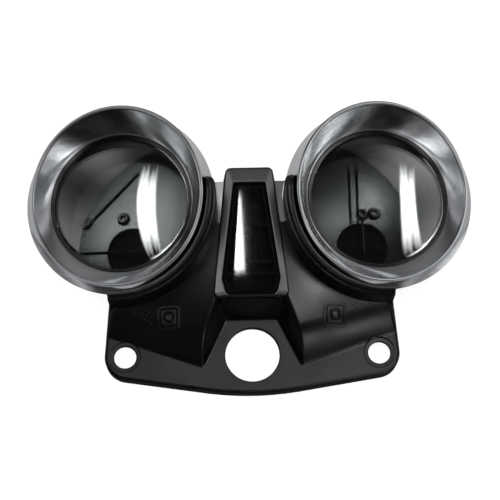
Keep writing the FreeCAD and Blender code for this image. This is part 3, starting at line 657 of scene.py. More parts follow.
def coverHeight(x, y):
    # plate at zero; on it two sloped shoulders, each the rounded minimum of five planes, and the tower's foot
    ax = np.abs(x)
    px, py, pz = cover["peak"]
    sx, sy, sz = cover["saddle"]
    top = pz - cover["fallOut"] * (ax - px) + cover["fallFront"] * (y - py)
    saddle = sz - cover["saddleOut"] * (ax - sx) + cover["saddleFront"] * (y - sy)
    front = math.tan(math.radians(cover["frontAngle"])) * baseDistance(ax, y, cover["frontBase"])
    inner = math.tan(math.radians(cover["innerAngle"])) * baseDistance(ax, y, cover["innerBase"])
    end = math.tan(math.radians(cover["endAngle"])) * (sideEdgeX(y) - 0.5 - ax)
    shoulder = smoothLow(top, saddle, cover["roundTop"])
    shoulder = smoothLow(shoulder, front, cover["roundFront"])
    shoulder = smoothLow(shoulder, inner, cover["roundInner"])
    shoulder = smoothLow(shoulder, end, cover["roundEnd"])
    rise = tower["frontZ"] / (tower["frontY"] - tower["baseY"])
    foot = smoothLow((y - tower["baseY"]) * rise, rimHeight(y) - 1.2, 1.0)
    foot = np.minimum(foot, (towerHalf(y) - 1.0 - ax) * 6.0)
    body = smoothHigh(shoulder, foot, 3.0)
    return smoothHigh(body, 0 * x, 0.5)


def plateCorners():
    # corners and corner radii of the plate's outline: round nose, leaning front and side edges
    slope, lean = math.radians(plate["edgeSlope"]), math.radians(plate["sideLean"])
    noseY = plate["noseY"] + plate["noseRadius"] * (1 - 1 / math.cos(slope))
    # the front edge's line meets the side edge's line outside the round corner
    rows = np.array([[math.sin(slope), -math.cos(slope)], [math.cos(lean), math.sin(lean)]])
    centre = np.array([plate["cornerX"], plate["cornerY"]])
    corner = np.linalg.solve(rows, rows @ centre + plate["cornerRadius"])
    back = (float(sideEdgeX(plate["backY"])), plate["backY"])
    right = [(0.0, noseY), tuple(corner), back]
    return right + [(-x, y) for x, y in right[:0:-1]], [plate["noseRadius"], plate["cornerRadius"], 2.0, 2.0,
                                                        plate["cornerRadius"]]


plateOutline = pathPoints(*plateCorners(), perArc=24, perSide=30)
collarDepth = 3.0     # the collars' upright walls are centred on this point of the dial axis
boreX, boreY = dial["x"] - collarDepth * dialAxis.x, dial["y"] - collarDepth * dialAxis.y


def windowCorners(grow=0.0):
    # tapered window opening with short bevels at its low end, grown outwards by a margin
    half = [(13.8, 30.8), (15.6, 32.6), (17.4, 39.5), (9.6, 97.7)]
    middle, halfY = (half[-1][1] + half[0][1]) / 2, (half[-1][1] - half[0][1]) / 2
    right = [(x + grow, middle + (y - middle) * (halfY + grow) / halfY) for x, y in half]
    return right + [(-x, y) for x, y in right[::-1]]


def coverEdge(x, y):
    # distance to the cover's border: plate and valley outline, less the dial bores, the holes and the window
    inPlate = pathDistance(x, y, plateOutline) + cover["edgeRound"]
    inValley = np.maximum(np.abs(x) - boreX, y - cover["saddleBackY"])
    shape = np.where(y < plate["backY"] - 8.0, inPlate, np.minimum(inValley, inPlate))
    for sign in (-1, 1):
        shape = np.maximum(shape, cover["boreRadius"] - np.hypot(x - sign * boreX, y - boreY))
        shape = np.maximum(shape, plate["dishRadius"] - np.hypot(x - sign * plate["mountSpacing"] / 2, y))
    shape = np.maximum(shape, plate["keyRadius"] + 0.6 - np.hypot(x, y))
    return np.maximum(shape, -pathDistance(x, y, towerHole))


towerHole = pathPoints(windowCorners(2.2), [1.5] * 8, perArc=4, perSide=4)
xs = np.concatenate([-np.arange(0.3, 88.6, 0.6)[::-1], np.arange(0.3, 88.6, 0.6)])
ys = np.arange(-23.4, 77.0, 0.6)
saddleFront = 76.0
fieldPiece("coverSkin", xs, ys, lambda x, y: np.maximum(coverEdge(x, y), y - saddleFront), coverHeight,
           absBlack, ["front_cover"], thickness=plate["wall"], sharpAngle=60.0)
fieldPiece("saddleSkin", xs[np.abs(xs) < 34.0], np.arange(saddleFront - 0.6, 104.0, 0.5),
           lambda x, y: np.maximum(coverEdge(x, y), saddleFront - y), coverHeight, absBlack,
           thickness=plate["wall"], sharpAngle=60.0)


def skirtPoints():
    # plate edge: rounded top edge, drafted skirt, and the inside of the wall, carried round the outline
    normals = pathNormals(plateOutline)
    r = cover["edgeRound"]
    section = np.concatenate([[[-4.0, -0.3], [-r - 0.4, 0.0]], arcPoints(-r, -r, r, 90, 0, 8),
                              runPoints((0.0, -r - 1.0), (0.35, -plate["skirt"] + 0.4), count=3),
                              [[0.1, -plate["skirt"]], [-plate["wall"] + 0.3, -plate["skirt"]],
                               [-plate["wall"], -plate["skirt"] + 0.4], [-plate["wall"], -3.6],
                               [-plate["wall"] - 0.6, -3.0], [-4.0, -2.8]]])
    flat = plateOutline[:, None] + normals[:, None] * np.minimum(section[None, :, :1], 0.0)
    return np.concatenate([flat, section[None, :, 1:] + 0 * flat[..., :1]], axis=-1)


gridPiece("plateSkirt", skirtPoints(), absBlack, "cover_black", sharpAngle=50.0)


def holeRim(centreX, radius, dish, depth):
    # lining of a round hole: outer slope of its dish, dish floor, rounded mouth and bore
    outer = [[dish + 0.8, -0.05], [dish + 0.15, 0.0], [dish - 0.25, -0.25], [dish - 0.5, -depth]]
    mouth = arcPoints(radius + 0.5, -depth - 0.5, 0.5, 90, 180, 6)
    inner = [[radius, -3.0], [radius + 0.4, -3.2], [dish + 0.8, -3.2]]
    return offCentre(np.concatenate([outer, mouth, inner]), (centreX, 0.0), 96)


for sideName, side in (("left", -1), ("right", 1)):
    lining = holeRim(side * plate["mountSpacing"] / 2, plate["mountRadius"], plate["dishRadius"],
                     plate["dishDepth"])
    gridPiece(sideName + "MountHoleRim", lining, absBlack, "cover_black")
keySection = np.concatenate([[[plate["keyRadius"] + 1.4, -0.05], [plate["keyRadius"] + 0.6, 0.0]],
                             arcPoints(plate["keyRadius"] + 0.6, -0.6, 0.6, 90, 180, 6),
                             [[plate["keyRadius"], -3.0], [plate["keyRadius"] + 1.4, -3.1]]])
gridPiece("keyHoleRim", offCentre(keySection, (0.0, 0.0), 128), absBlack, "cover_black")
print("cover skin made")


# Tower rim.

rim = {"edge": 1.2, "fall": 0.7, "frontLean": -0.08, "frontFoot": 16.0, "sideFoot": 14.0}


def towerPoints():
    # ring round the window: recess wall, rounded edge, band that slopes outwards, rounded corner and
    # leaning wall
    inner = pathPoints(windowCorners(), [1.2] * 8, perArc=6, perSide=14)
    outerHalf = [(20.4, 29.0), (22.5, 31.6), (towerHalf(40.5), 40.5), (tower["halfBack"], tower["backY"])]
    outer = pathPoints(outerHalf + [(-x, y) for x, y in outerHalf[::-1]],
                       [1.6, 1.6, 1.6, 3.4, 3.4, 1.6, 1.6, 1.6], perArc=6, perSide=14)
    normalIn, normalOut = pathNormals(inner), pathNormals(outer)
    rows = []
    for offset, drop in ((0.0, -6.0), (0.0, -0.55), (0.16, -0.16), (0.55, 0.0)):
        flat = inner + normalIn * offset
        rows.append(np.column_stack([flat, rimHeight(flat[:, 1]) + drop]))
    edge, fall = rim["edge"], rim["fall"]
    for share in (0.15, 0.4, 0.7, 0.95):
        flat = (inner + normalIn * 0.55) * (1 - share) + (outer - normalOut * edge) * share
        rows.append(np.column_stack([flat, rimHeight(flat[:, 1]) - fall * share]))
    for turn in np.radians(np.linspace(75, 4, 8)):
        flat = outer - normalOut * edge * (1 - math.cos(turn))
        rows.append(np.column_stack([flat, rimHeight(flat[:, 1]) - fall - edge * (1 - math.sin(turn))]))
    lean = math.tan(math.radians(tower["lean"]))
    atFront = outer[:, 1] < 32.5
    for depth in np.linspace(3.0, 47.0, 23):
        reach = np.where(atFront, rim["frontLean"], lean) * depth
        flat = outer + normalOut * reach[:, None]
        atBack = outer[:, 1] > cover["saddleBackY"] - 3.5
        floor = np.where(atBack, -plate["skirt"] + 0.1, np.where(atFront, rim["frontFoot"], rim["sideFoot"]))
        z = np.maximum(rimHeight(outer[:, 1]) - fall - edge - depth, floor)
        rows.append(np.column_stack([flat, z]))
    return np.stack(rows, axis=1)


gridPiece("towerRim", towerPoints(), absBlack, "cover_black", wrapV=False, weld=False, sharpAngle=45.0,
          flip=True)


# Smoked window and its gasket.

window = {"sink": 1.4, "thick": 2.0, "edge": 0.5, "gap": 0.35, "lip": 1.15, "beadLow": 0.05, "beadRise": 0.75}
windowPath = pathPoints(windowCorners(), [1.2] * 8, perArc=6, perSide=14)
windowNormals = pathNormals(windowPath)


def windowPoints():
    # flat sheet in the rim's plane with eased edges, closed on its centre line
    rows = []
    profile = [(window["gap"], -window["thick"]), (window["gap"], -window["edge"]),
               (window["gap"] + 0.15, -0.15), (window["gap"] + window["edge"], 0.0)]
    for inset, drop in profile:
        flat = windowPath - windowNormals * inset
        rows.append(np.column_stack([flat, rimHeight(flat[:, 1]) - window["sink"] + drop]))
    flat = windowPath - windowNormals * profile[-1][0]
    for share in (0.35, 0.7, 0.999):
        inward = flat * np.array([1 - share, 1.0])
        rows.append(np.column_stack([inward, rimHeight(inward[:, 1]) - window["sink"]]))
    return np.stack(rows, axis=1)


def gasketPoints():
    # rubber bead between the rim and the window: its round top stands just over the window's edge
    rows = []
    for turn in np.radians(np.linspace(0, 180, 9)):
        flat = windowPath - windowNormals * window["lip"] * (0.5 - 0.5 * math.cos(turn))
        rise = window["beadLow"] + window["beadRise"] * math.sin(turn)
        rows.append(np.column_stack([flat, rimHeight(flat[:, 1]) - window["sink"] + rise]))
    return np.stack(rows, axis=1)


gridPiece("smokedWindow", windowPoints(), smoked, "smoked_window", ["centre_window"], wrapV=False, flip=True)
gridPiece("windowBead", gasketPoints(), rubber, "rubber_seal", ["window_gasket"])
print("window made")


# Collars round the dials.

collar = {"start": -98.0, "end": 9.0, "centreDepth": 3.0, "lift": -2.7, "tip": 9.0, "tipSink": 5.0,
          "thick": 2.4, "draft": 0.012, "bore": 57.6, "boreLow": -17.4, "boreHigh": -13.6, "innerDrop": 2.5}
# section from the inner edge outwards: radius, and height above the collar's top
collarSection = np.array([(54.5, -1.2), (54.6, -0.5), (54.9, -0.1), (55.4, 0.0), (56.3, -0.1), (57.2, -0.35),
                          (57.7, -0.8), (58.2, -1.7), (58.7, -2.5), (59.0, -2.8), (59.5, -2.95), (59.8, -3.3),
                          (59.95, -3.9)])


def collarPoints(steps=170):
    # the section follows the lean of the lip; below it the wall drops straight along the mould's draw,
    # and returns up the inside; near the upper tip the section sinks and narrows along a quarter circle
    angle = np.linspace(collar["start"], collar["end"], steps)[:, None]
    turn = np.radians(180.0 - angle)
    near = np.clip((collar["end"] - angle) / collar["tip"], 0, 1)
    swell = np.sqrt(np.clip(1 - (1 - near) ** 2, 0, 1))
    inner = collarSection[0, 0]
    radius = inner + (collarSection[None, :, 0] - inner) * (0.45 + 0.55 * swell)
    height = (lipSlope(turn) * bezel["lip"] + collar["lift"] + collarSection[None, :, 1]
              - collar["tipSink"] * (1 - swell))
    top = np.stack([radius * np.cos(turn), radius * np.sin(turn), height], axis=-1) @ turnArray.T + dialCentre
    centre = (dialCentre - np.array(dialAxis) * collar["centreDepth"])[:2]
    edge = top[:, -1:]
    out = edge[..., :2] - centre
    out /= np.linalg.norm(out, axis=-1, keepdims=True)
    share = np.linspace(0.06, 1, 12)[None, :, None]
    fall = (edge[..., 2:] + plate["skirt"] - 0.1) * share
    wall = np.concatenate([edge[..., :2] + out * collar["draft"] * fall, edge[..., 2:] - fall], axis=-1)
    foot = wall[:, -1:]
    footIn = np.concatenate([foot[..., :2] - out * collar["thick"], foot[..., 2:]], axis=-1)
    inside = []
    for r, z in ((collar["bore"], collar["boreLow"] + 0 * turn),
                 (collar["bore"], collar["boreHigh"] + 0 * turn),
                 (inner + 0.1, height[:, :1] - collar["innerDrop"])):
        inside.append(np.stack([r * np.cos(turn), r * np.sin(turn), z], axis=-1) @ turnArray.T + dialCentre)
    return np.concatenate([top, wall, footIn] + inside, axis=1)


for sideName, side in (("left", -1), ("right", 1)):
    gridPiece(sideName + "Collar", collarPoints() * np.array([side, 1, 1]), absBlack, "cover_black",
              wrapU=False, capEnds=True, sharpAngle=40.0)
print("collars made")


# Moulded ornament on the shoulders.

def boxDistance(x, y, half, rounding):
    # signed distance to a square with round corners
    qx, qy = np.abs(x) - half + rounding, np.abs(y) - half + rounding
    return np.hypot(np.maximum(qx, 0), np.maximum(qy, 0)) + np.minimum(np.maximum(qx, qy), 0) - rounding


def emblemHeight(side):
    # rounded squares one inside the other: outer groove, flat band, step, pad, ring groove and centre stud
    cx, cy = emblem["centre"]

    def height(x, y):
        d = boxDistance(x - side * cx, y - cy, emblem["half"], emblem["round"])
        outerGroove = -0.55 * np.exp(-((d + 0.55) / 0.45) ** 2)
        band = 0.35 * np.clip((-d - 0.9) / 0.5, 0, 1)
        stepGroove = -0.6 * np.exp(-((d + 3.1) / 0.4) ** 2)
        pad = 0.3 * np.clip((-d - 3.3) / 0.5, 0, 1)
        stud = boxDistance(x - side * cx, y - cy, emblem["stud"], 0.9)
        ringGroove = -0.75 * np.exp(-((stud - 0.9) / 0.5) ** 2)
        dot = 0.25 * np.clip(0.4 - stud / 0.5, 0, 1)
        return coverHeight(x, y) + 0.03 + outerGroove + band + stepGroove + pad + ringGroove + dot
    return height


def hatchEdge(side):
    # distance to the triangle's outline
    corners = [(side * x, y) for x, y in hatch["corners"]]
    path = pathPoints(corners if side < 0 else corners[::-1], [0.8] * 3, perArc=5, perSide=6)
    return lambda x, y: pathDistance(x, y, path)


def hatchHeight(side):
    # groove along the triangle's edge; inside it ridges parallel to the long side, notched into beads
    edge = hatchEdge(side)
    (x1, y1), (x2, y2) = hatch["corners"][1:]
    slope = math.atan2(y2 - y1, x2 - x1)

    def height(x, y):
        ax = np.abs(x)
        across = (y - y1) * math.cos(slope) - (ax - x1) * math.sin(slope)
        along = (y - y1) * math.sin(slope) + (ax - x1) * math.cos(slope)
        ridge = 0.5 - 0.5 * np.cos(2 * math.pi * across / hatch["pitch"])
        bead = 0.7 + 0.3 * np.cos(2 * math.pi * along / hatch["pitch"])
        d = edge(x, y)
        inside = np.clip((-d - 1.2) / 0.5, 0, 1)
        groove = -0.6 * np.exp(-((d + hatch["groove"] + 0.3) / 0.4) ** 2)
        return coverHeight(x, y) + 0.03 + groove + inside * (hatch["height"] * ridge * bead - 0.35)
    return height


for sideName, side in (("left", -1), ("right", 1)):
    cx, cy = emblem["centre"]
    reach = emblem["half"] + 0.6
    fieldPiece(sideName + "SquareOrnament", np.arange(side * cx - reach, side * cx + reach, ornamentGrid),
               np.arange(cy - reach, cy + reach, ornamentGrid),
               lambda x, y, s=side: boxDistance(x - s * cx, y - cy, emblem["half"], emblem["round"]),
               emblemHeight(side), absBlack, sharpAngle=80.0, thickness=ornamentDepth)
    across = np.arange(58.4, 85.2, ornamentGrid)
    fieldPiece(sideName + "RidgedTriangle", np.sort(side * across), np.arange(11.4, 29.4, ornamentGrid),
               hatchEdge(side), hatchHeight(side), absBlack, sharpAngle=80.0,
               thickness=ornamentDepth)
print("ornament made")


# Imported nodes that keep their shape.

finishes = {"cover_black": absBlack, "ring_black": ringBlack, "rubber_seal": rubber, "cup_black": cupBlack,
            "zinc_screw": zinc, "smoked_window": smoked, "lamp_grey": lampGrey, "chrome_trim": chrome,
            "clear_lens": acrylic}
slotOf = {entry["node"]: entry["material_slot"] for entry in frame["record"]["subparts"]}
for nodeName, piece in frame["nodes"].items():
    for materialSlot in piece.material_slots:
        materialSlot.material = finishes[slotOf[nodeName]]


# Floor, backdrop, camera and light.

studio = {"floorColor": "#f4f4f4", "floorSize": 3.0, "worldColor": "#e6e8ea", "worldStrength": 0.05,
          "backdropColor": "#f6f6f6", "backdropRadius": 4.0, "underCardGlow": 0.42}


def stageMesh(name, points, faces, material):
    # a piece of the studio, in metres
    mesh = bpy.data.meshes.new(name)
    mesh.from_pydata(points, [], faces)
    mesh.materials.append(material)
    made = bpy.data.objects.new(name, mesh)
    bpy.context.scene.collection.objects.link(made)
    made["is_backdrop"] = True
    return made


def studioFloor():
    # pale seamless floor just under the part's lowest point
    low, size = cadBox[0].z, studio["floorSize"]
    material, tree, surface, place = startMaterial("paintedBoard", Roughness=0.9)
    tone = addNode(tree, "TexNoise", {"Vector": place, "Scale": 3.0})
    tint = setRamp(addNode(tree, "ValToRGB", {"Fac": tone.outputs["Fac"]}),
                   [(0.0, hexColor(studio["floorColor"])), (1.0, hexColor("#fbfbfb"))])
    tree.links.new(tint.outputs["Color"], surface.inputs["Base Color"])
    corners = [(-size, -size, low), (size, -size, low), (size, size, low), (-size, size, low)]
    return stageMesh("studioFloor", corners, [(0, 1, 2, 3)], material)


def glowMaterial(name, color, strength, varied=False, seeThrough=False):
    # self-lit sheet; when varied, its strength follows the mesh's glow values and it stays see-through
    material = bpy.data.materials.new(name)
    material.use_nodes = True
    tree = material.node_tree
    tree.nodes.clear()
    output = addNode(tree, "OutputMaterial")
    light = addNode(tree, "Emission", {"Color": hexColor(color), "Strength": strength})
    last = light
    if varied:
        glow = addNode(tree, "Attribute", attribute_name="glow")
        power = addNode(tree, "Math", {0: glow.outputs["Fac"], 1: strength}, operation="MULTIPLY")
        tree.links.new(power.outputs[0], light.inputs["Strength"])
    if varied or seeThrough:
        last = addNode(tree, "AddShader", {0: light.outputs[0]})
        tree.links.new(addNode(tree, "BsdfTransparent").outputs[0], last.inputs[1])
    tree.links.new(last.outputs[0], output.inputs["Surface"])
    return material


def onlySeenBy(piece, camera=False, glossy=False):
    # a sheet that shows to the camera or in reflections, and does nothing else
    piece.visible_camera = camera
    piece.visible_glossy = glossy
    piece.visible_diffuse = False
    piece.visible_transmission = camera
    piece.visible_shadow = False
    piece.visible_volume_scatter = False


def backdrop():
    # pale dome behind everything, seen by the camera alone
    radius, rings, steps = studio["backdropRadius"], 10, 32
    rise = np.linspace(-0.2, math.pi / 2 - 0.01, rings)[:, None]
    turn = np.linspace(0, 2 * math.pi, steps, endpoint=False)[None]
    dome = np.stack([np.cos(rise) * np.cos(turn), np.cos(rise) * np.sin(turn), np.sin(rise) + 0 * turn],
                    axis=-1)
    index = np.arange(rings * steps).reshape(rings, steps)
    around = np.roll(index, -1, axis=1)
    faces = np.stack([index[:-1], around[:-1], around[1:], index[1:]], axis=-1).reshape(-1, 4)
    sheet = stageMesh("backdrop", (radius * dome.reshape(-1, 3)).tolist(),
                      faces.tolist() + [index[-1].tolist()],
                      glowMaterial("paperBackdrop", studio["backdropColor"], 1.0))
    onlySeenBy(sheet, camera=True)


view = {"lens": 100.0, "sensor": 36.0, "distance": 0.863, "target": (0.0, 0.0667, 0.0), "tilt": 18.0,
        "yaw": -0.73, "roll": 1.08}


def placeCamera():
    # camera at a distance from its target, tilted down from straight above, turned and rolled a little
    tilt, roll, yaw = (math.radians(view[key]) for key in ("tilt", "roll", "yaw"))
    back = Vector((math.sin(yaw), -math.sin(tilt) * math.cos(yaw), math.cos(tilt) * math.cos(yaw)))
    right = Vector((math.cos(yaw), math.sin(tilt) * math.sin(yaw), -math.cos(tilt) * math.sin(yaw)))
    up = back.cross(right)
    data = bpy.data.cameras.new("studioCamera")
    data.lens, data.sensor_width = view["lens"], view["sensor"]
    camera = bpy.data.objects.new("studioCamera", data)
    seenRight = right * math.cos(roll) - up * math.sin(roll)
    seenUp = right * math.sin(roll) + up * math.cos(roll)
    place = Vector(view["target"]) + back * view["distance"]
    camera.matrix_world = Matrix.Translation(place) @ Matrix((seenRight, seenUp, back)).transposed().to_4x4()
    bpy.context.scene.collection.objects.link(camera)
    bpy.context.scene.camera = camera
    return np.array(place)


def linkTo(light, receivers):
    # the light or card shines only on the receivers
    group = bpy.data.collections.new(light.name + "Receivers")
    for piece in receivers:
        group.objects.link(piece)
    light.light_linking.receiver_collection = group


def areaLight(name, at, target, width, height, glow, receivers, shadow=True):
    # rectangular softbox; glow is its brightness, and its power is glow times its area times pi
    data = bpy.data.lights.new(name, "AREA")
    data.shape = "RECTANGLE"
    data.size, data.size_y = width, height
    data.energy = glow * width * height * math.pi
    data.use_shadow = shadow
    lamp = bpy.data.objects.new(name, data)
    at, target = Vector(at), Vector(target)
    lamp.location = at
    lamp.rotation_mode = "QUATERNION"
    lamp.rotation_quaternion = (target - at).to_track_quat("-Z", "Y")
    bpy.context.scene.collection.objects.link(lamp)
    linkTo(lamp, receivers)


def mirrored(spot, normal, reach):
    # the point reach metres away that a mirror at the spot (m) shows: the main view's ray turned about the
    # normal
    ray = spot - cameraPlace
    ray = ray / np.linalg.norm(ray, axis=-1, keepdims=True)
    bounce = ray - 2 * np.sum(ray * normal, axis=-1, keepdims=True) * normal
    return spot + bounce * reach


def mirrorLight(name, spot, normal, width, height, glow, receivers, reach=1.0):
    # softbox whose middle shows in the surface at the spot (mm) with that normal
    spot = np.array(spot) * mm
    normal = np.array(normal, dtype=float)
    normal /= np.linalg.norm(normal)
    areaLight(name, mirrored(spot, normal, reach), spot, width, height, glow, receivers)


def coverSpot(x, y, step=0.2):
    # point and normal of the cover's surface, its slopes by small steps each way
    def rise(ax, ay):
        return float(coverHeight(np.array(ax), np.array(ay)))
    slopeX = (rise(x + step, y) - rise(x - step, y)) / (2 * step)
    slopeY = (rise(x, y + step) - rise(x, y - step)) / (2 * step)
    return (x, y, rise(x, y)), (-slopeX, -slopeY, 1.0)


def piecesNamed(*endings):
    # mesh objects whose names end in one of these
    return [piece for piece in bpy.data.objects if piece.type == "MESH" and piece.name.endswith(endings)]


def glowCard(name, rows, surface, side, glow, receivers, ragged=0.25, soft=0.12, reach=0.55, smooth=4):
    # a self-lit sheet shaped so that the surface shows it between the given left and right edges, row by row
    rows = np.array(rows, dtype=float)
    at = np.linspace(0, 1, len(rows))
    fine = np.linspace(0, 1, 40)
    edges = np.stack([np.interp(fine, at, rows[:, k]) for k in range(4)], axis=-1)
    for _ in range(smooth):
        edges[1:-1] = (edges[:-2] + 2 * edges[1:-1] + edges[2:]) / 4
    across = np.linspace(0, 1, 16)
    flat = edges[:, None, :2] * (1 - across[None, :, None]) + edges[:, None, 2:] * across[None, :, None]
    spots, normals = surface(flat, side)
    points = mirrored(spots * mm, normals, reach)
    count, wide = points.shape[:2]
    index = np.arange(count * wide).reshape(count, wide)
    faces = np.stack([index[:-1, :-1], index[1:, :-1], index[1:, 1:], index[:-1, 1:]], axis=-1).reshape(-1, 4)
    card = stageMesh(name, points.reshape(-1, 3).tolist(), faces.tolist(),
                     glowMaterial(name + "Glow", "#ffffff", glow, varied=True))
    wave = 0.5 + 0.25 * np.sin(across * 23.0 + 1.0) + 0.25 * np.sin(across * 9.0 + 2.0)
    ends = np.minimum(fine[:, None], 1 - fine[:, None]) / ragged - 0.55 * wave[None]
    sides = np.minimum(across, 1 - across)[None] / soft
    values = np.clip(ends, 0, 1) * np.clip(sides, 0, 1)
    attribute = card.data.attributes.new("glow", "FLOAT", "POINT")
    attribute.data.foreach_set("value", values.astype(np.float32).ravel())
    onlySeenBy(card, glossy=True)
    linkTo(card, receivers)


def lensSurface(flat, side):
    # the dome's points and normals, x to the right for either dial
    x, y = side * flat[..., 0], flat[..., 1]
    z = np.sqrt(lensSphere ** 2 - x ** 2 - y ** 2)
    local = np.stack([x, y, z - lensSphere + lensLook["crown"] - lensLook["top"]], axis=-1)
    normals = (np.stack([x, y, z], axis=-1) / lensSphere) @ turnArray.T * np.array([side, 1, 1])
    return toPart(side)(local), normals


def floorSurface(flat, side):
    # points and normals of a cup's floor
    local = np.stack([side * flat[..., 0], flat[..., 1], 0 * flat[..., 0] - cup["floor"]], axis=-1)
    normals = np.array(dialAxis) * np.array([side, 1, 1]) + 0 * local
    return toPart(side)(local), normals


def windowSurface(flat, side):
    # points and normals of the window; it has no left and right copy, so side does nothing
    normal = np.array([0.0, -rimSlope, 1.0]) / math.hypot(1.0, rimSlope)
    spots = np.stack([flat[..., 0], flat[..., 1], rimHeight(flat[..., 1]) - window["sink"]], axis=-1)
    return spots, normal + 0 * spots


def tent(name, radius, glow, lobes, low, high, receivers):
    # light tent: a dome, open above, whose brightness is a sum of soft lobes, each a bell curve round its
    # direction
    rise = np.radians(np.linspace(low, high, 12))[:, None]
    turn = np.radians(np.arange(0, 360, 5.0))[None]
    points = radius * np.stack([np.cos(rise) * np.cos(turn), np.cos(rise) * np.sin(turn),
                                np.sin(rise) + 0 * turn], axis=-1)
    index = np.arange(points.shape[0] * points.shape[1]).reshape(points.shape[:2])
    around = np.roll(index, -1, axis=1)
    faces = np.stack([index[:-1], around[:-1], around[1:], index[1:]], axis=-1).reshape(-1, 4)
    sheet = stageMesh(name, points.reshape(-1, 3).tolist(), faces.tolist(),
                      glowMaterial(name + "Glow", "#ffffff", glow, varied=True))
    bright = 0 * turn
    for middle, width, share in lobes:
        apart = (np.degrees(turn) - middle + 180.0) % 360.0 - 180.0
        bright = bright + share * np.exp(-(apart / width) ** 2)
    fade = np.sin(np.pi * np.linspace(0.08, 0.92, 12))[:, None]
    attribute = sheet.data.attributes.new("glow", "FLOAT", "POINT")
    attribute.data.foreach_set("value", (bright * fade).astype(np.float32).ravel())
    onlySeenBy(sheet, glossy=True)
    linkTo(sheet, receivers)


floorSheet = studioFloor()
backdrop()
world = bpy.data.worlds.new("studioWorld")
world.use_nodes = True
world.node_tree.nodes["Background"].inputs["Color"].default_value = hexColor(studio["worldColor"])
world.node_tree.nodes["Background"].inputs["Strength"].default_value = studio["worldStrength"]
bpy.context.scene.world = world
cameraPlace = placeCamera()

coverPieces = piecesNamed("Skin", "Skirt", "Rim", "Collar", "Ornament", "Triangle", "towerRim")
floorPieces = piecesNamed("CupFloor") + [piece for piece in bpy.data.objects if "FloorRib" in piece.name
                                         or "FloorBoss" in piece.name]
insidePieces = floorPieces + piecesNamed("CupShell", "DriveWell", "LensRing")
filledPieces = coverPieces + insidePieces + list(frame["nodes"].values())

areaLight("floorLamp", (0.0, 0.0, 2.2), (0, 0, 0), 3.0, 3.0, 3.3, [floorSheet], shadow=False)
floorSheet.visible_glossy = False

# soft fill from both sides and the back: place in m, width and height of the box
for name, at, width, height in (("sideFillLeft", (-1.1, 0.5, 0.25), 0.9, 0.5),
                                ("sideFillRight", (1.1, 0.5, 0.25), 0.9, 0.5),
                                ("backFill", (0.0, 1.3, 0.35), 1.4, 0.5)):
    areaLight(name, at, (0, 0.06, 0), width, height, 0.9, filledPieces)

skinPieces = piecesNamed("coverSkin", "plateSkirt", "HoleRim", "keyHoleRim", "Ornament", "Triangle")
mirrorLight("plateBox", (0.0, 0.0, 0.0), (0, 0, 1), 0.55, 0.34, 1.1, skinPieces)
mirrorLight("shoulderFrontBox", *coverSpot(46.0, 9.0), 0.3, 0.3, 3.0, skinPieces)
mirrorLight("shoulderBox", *coverSpot(30.0, 34.0), 0.2, 0.3, 8.0, skinPieces)
for sideName, side in (("left", -1), ("right", 1)):
    ornamentPieces = piecesNamed(sideName + "SquareOrnament", sideName + "RidgedTriangle")
    mirrorLight(sideName + "OrnamentBox", *coverSpot(side * 60.0, 22.0), 0.3, 0.2, 1.6, ornamentPieces)
    areaLight(sideName + "OrnamentEdge", (side * 0.35, 0.75, 0.62), (side * 0.06, 0.02, 0.02), 0.25, 0.12,
              70.0, ornamentPieces)
towerPieces = piecesNamed("towerRim")
mirrorLight("bandBoxLeft", (-16.5, 70.0, 32.0), (-0.2, -0.155, 0.967), 0.4, 0.7, 6.5, towerPieces)
mirrorLight("bandBoxRight", (16.5, 70.0, 32.0), (0.2, -0.155, 0.967), 0.4, 0.7, 5.0, towerPieces)
mirrorLight("saddleBox", (-20.0, 94.0, 27.0), (-0.05, -0.03, 1.0), 0.3, 0.3, 22.0, piecesNamed("saddleSkin"))
collarPieces = piecesNamed("Collar")
for sideName, side, glow in (("left", -1, 1.6), ("right", 1, 1.0)):
    lean = np.array(direction(dial["lipYaw"], dial["lipPitch"])) * np.array([side, 1, 1])
    mirrorLight(sideName + "CollarBox", (side * 32.0, 62.0, 42.0), lean, 0.12, 0.5, glow, collarPieces)
areaLight("lampGlow", (0.0, -0.1, 0.9), (0, 0.05, 0.02), 0.5, 0.5, 5.0, [frame["nodes"]["lamp_housing"]])
# lobes of the light tents: direction in degrees, width, share
tentLobes = {
    "collar": [(0.0, 26.0, 1.0), (180.0, 26.0, 1.0), (-90.0, 14.0, 0.5), (-140.0, 8.0, 0.7)],
    "left": [(4.0, 14.0, 1.1), (-42.0, 13.0, 1.1), (-18.0, 5.0, 0.6), (34.0, 8.0, 0.5), (172.0, 16.0, 0.8),
             (-150.0, 8.0, 0.5), (90.0, 30.0, 0.18), (130.0, 8.0, 0.4)],
    "right": [(0.0, 20.0, 1.2), (40.0, 12.0, 0.6), (-132.0, 16.0, 1.1), (-100.0, 9.0, 0.35),
              (176.0, 14.0, 0.7), (148.0, 8.0, 0.35), (90.0, 26.0, 0.15), (-40.0, 7.0, 0.4)]}
tent("tentCollar", 1.7, 1.6, tentLobes["collar"], 20.0, 80.0, collarPieces)
for sideName, radius in (("left", 1.3), ("right", 1.5)):     # no two tents have one radius
    tent(sideName + "TentGlass", radius, 6.5, tentLobes[sideName], 4.0, 58.0,
         piecesNamed(sideName + "DomedLens", sideName + "LensRing"))
    tent(sideName + "TentChrome", radius + 0.1, 1.0, tentLobes[sideName], 2.0, 75.0,
         piecesNamed(sideName + "BezelShell"))
low = cadBox[0].z + 0.002
underCard = stageMesh("underCard", [(-1.5, -1.5, low), (1.5, -1.5, low), (1.5, 1.5, low), (-1.5, 1.5, low)],
                      [(0, 1, 2, 3)],
                      glowMaterial("underCardGlow", "#ffffff", studio["underCardGlow"], seeThrough=True))
onlySeenBy(underCard, glossy=True)
linkTo(underCard, piecesNamed("BezelShell"))


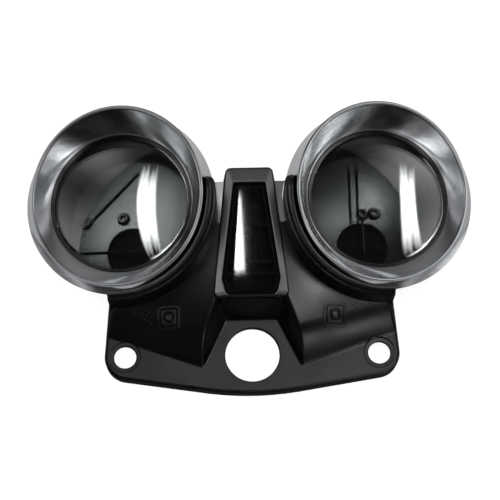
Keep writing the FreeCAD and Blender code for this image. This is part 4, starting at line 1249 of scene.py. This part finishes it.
def stripRows(look, count=12):
    # rows of a bowed strip: its middle leans and bows with the distance from its waist, and its width
    # tapers from there
    y = np.linspace(look["top"], look["bottom"], count)
    away = y - look["waist"]
    middle = look["middle"] + look["lean"] * away + look["bow"] * away ** 2
    half = (look["wide"] - look["taper"] * away ** 2) / 2
    return np.stack([middle - half, y, middle + half, y], axis=-1)


strips = {
    "left": {"top": 25.0, "bottom": -36.0, "waist": -2.0, "middle": 15.4, "lean": 0.0, "bow": 0.0044,
             "wide": 12.2, "taper": 0.0025, "glow": 21.0},
    "right": {"top": 25.0, "bottom": -37.0, "waist": 5.0, "middle": 18.6, "lean": 0.0, "bow": 0.0013,
              "wide": 10.0, "taper": -0.003, "glow": 21.0},
    "window": {"top": 94.5, "bottom": 41.5, "waist": 68.0, "middle": -8.2, "lean": -0.035, "bow": 0.0012,
               "wide": 8.8, "taper": 0.004, "glow": 34.0},
}
for sideName, side in (("left", -1), ("right", 1)):
    glowCard(sideName + "StripCard", stripRows(strips[sideName]), lensSurface, side, strips[sideName]["glow"],
             piecesNamed(sideName + "DomedLens"))
glowCard("windowStripCard", stripRows(strips["window"]), windowSurface, 1, strips["window"]["glow"],
         piecesNamed("smokedWindow"), ragged=0.08)
# light patches on the cup floors, rows of left x, y, right x, y
patchLeft = [(7, 26, 9, 26), (0, 19, 32, 17), (-10, 9, 34, 7), (-20, -1, 34, -3), (-25, -6, 34, -8),
             (-25, -17, 34, -18), (-25, -29, 33, -29)]
patchRightA = [(-32, 0, -14, 0), (-32, -16, -14, -16)]
patchRightB = [(-11, 18, 11, 18), (-6, -11, 10, -11)]
glowCard("leftFloorCard", patchLeft, floorSurface, -1, 9.0, floorPieces, ragged=0.05, soft=0.02, smooth=0)
glowCard("rightFloorCardA", patchRightA, floorSurface, 1, 14.0, floorPieces, ragged=0.12, soft=0.12)
glowCard("rightFloorCardB", patchRightB, floorSurface, 1, 14.0, floorPieces, ragged=0.15, soft=0.15)
bpy.context.scene.view_settings.view_transform = "Standard"
print("stage set")

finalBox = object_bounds()
for name, box in (("cad", cadBox), ("visual", finalBox)):
    print(name, "size in mm", [round((high - low) / mm, 1) for low, high in zip(*box)])
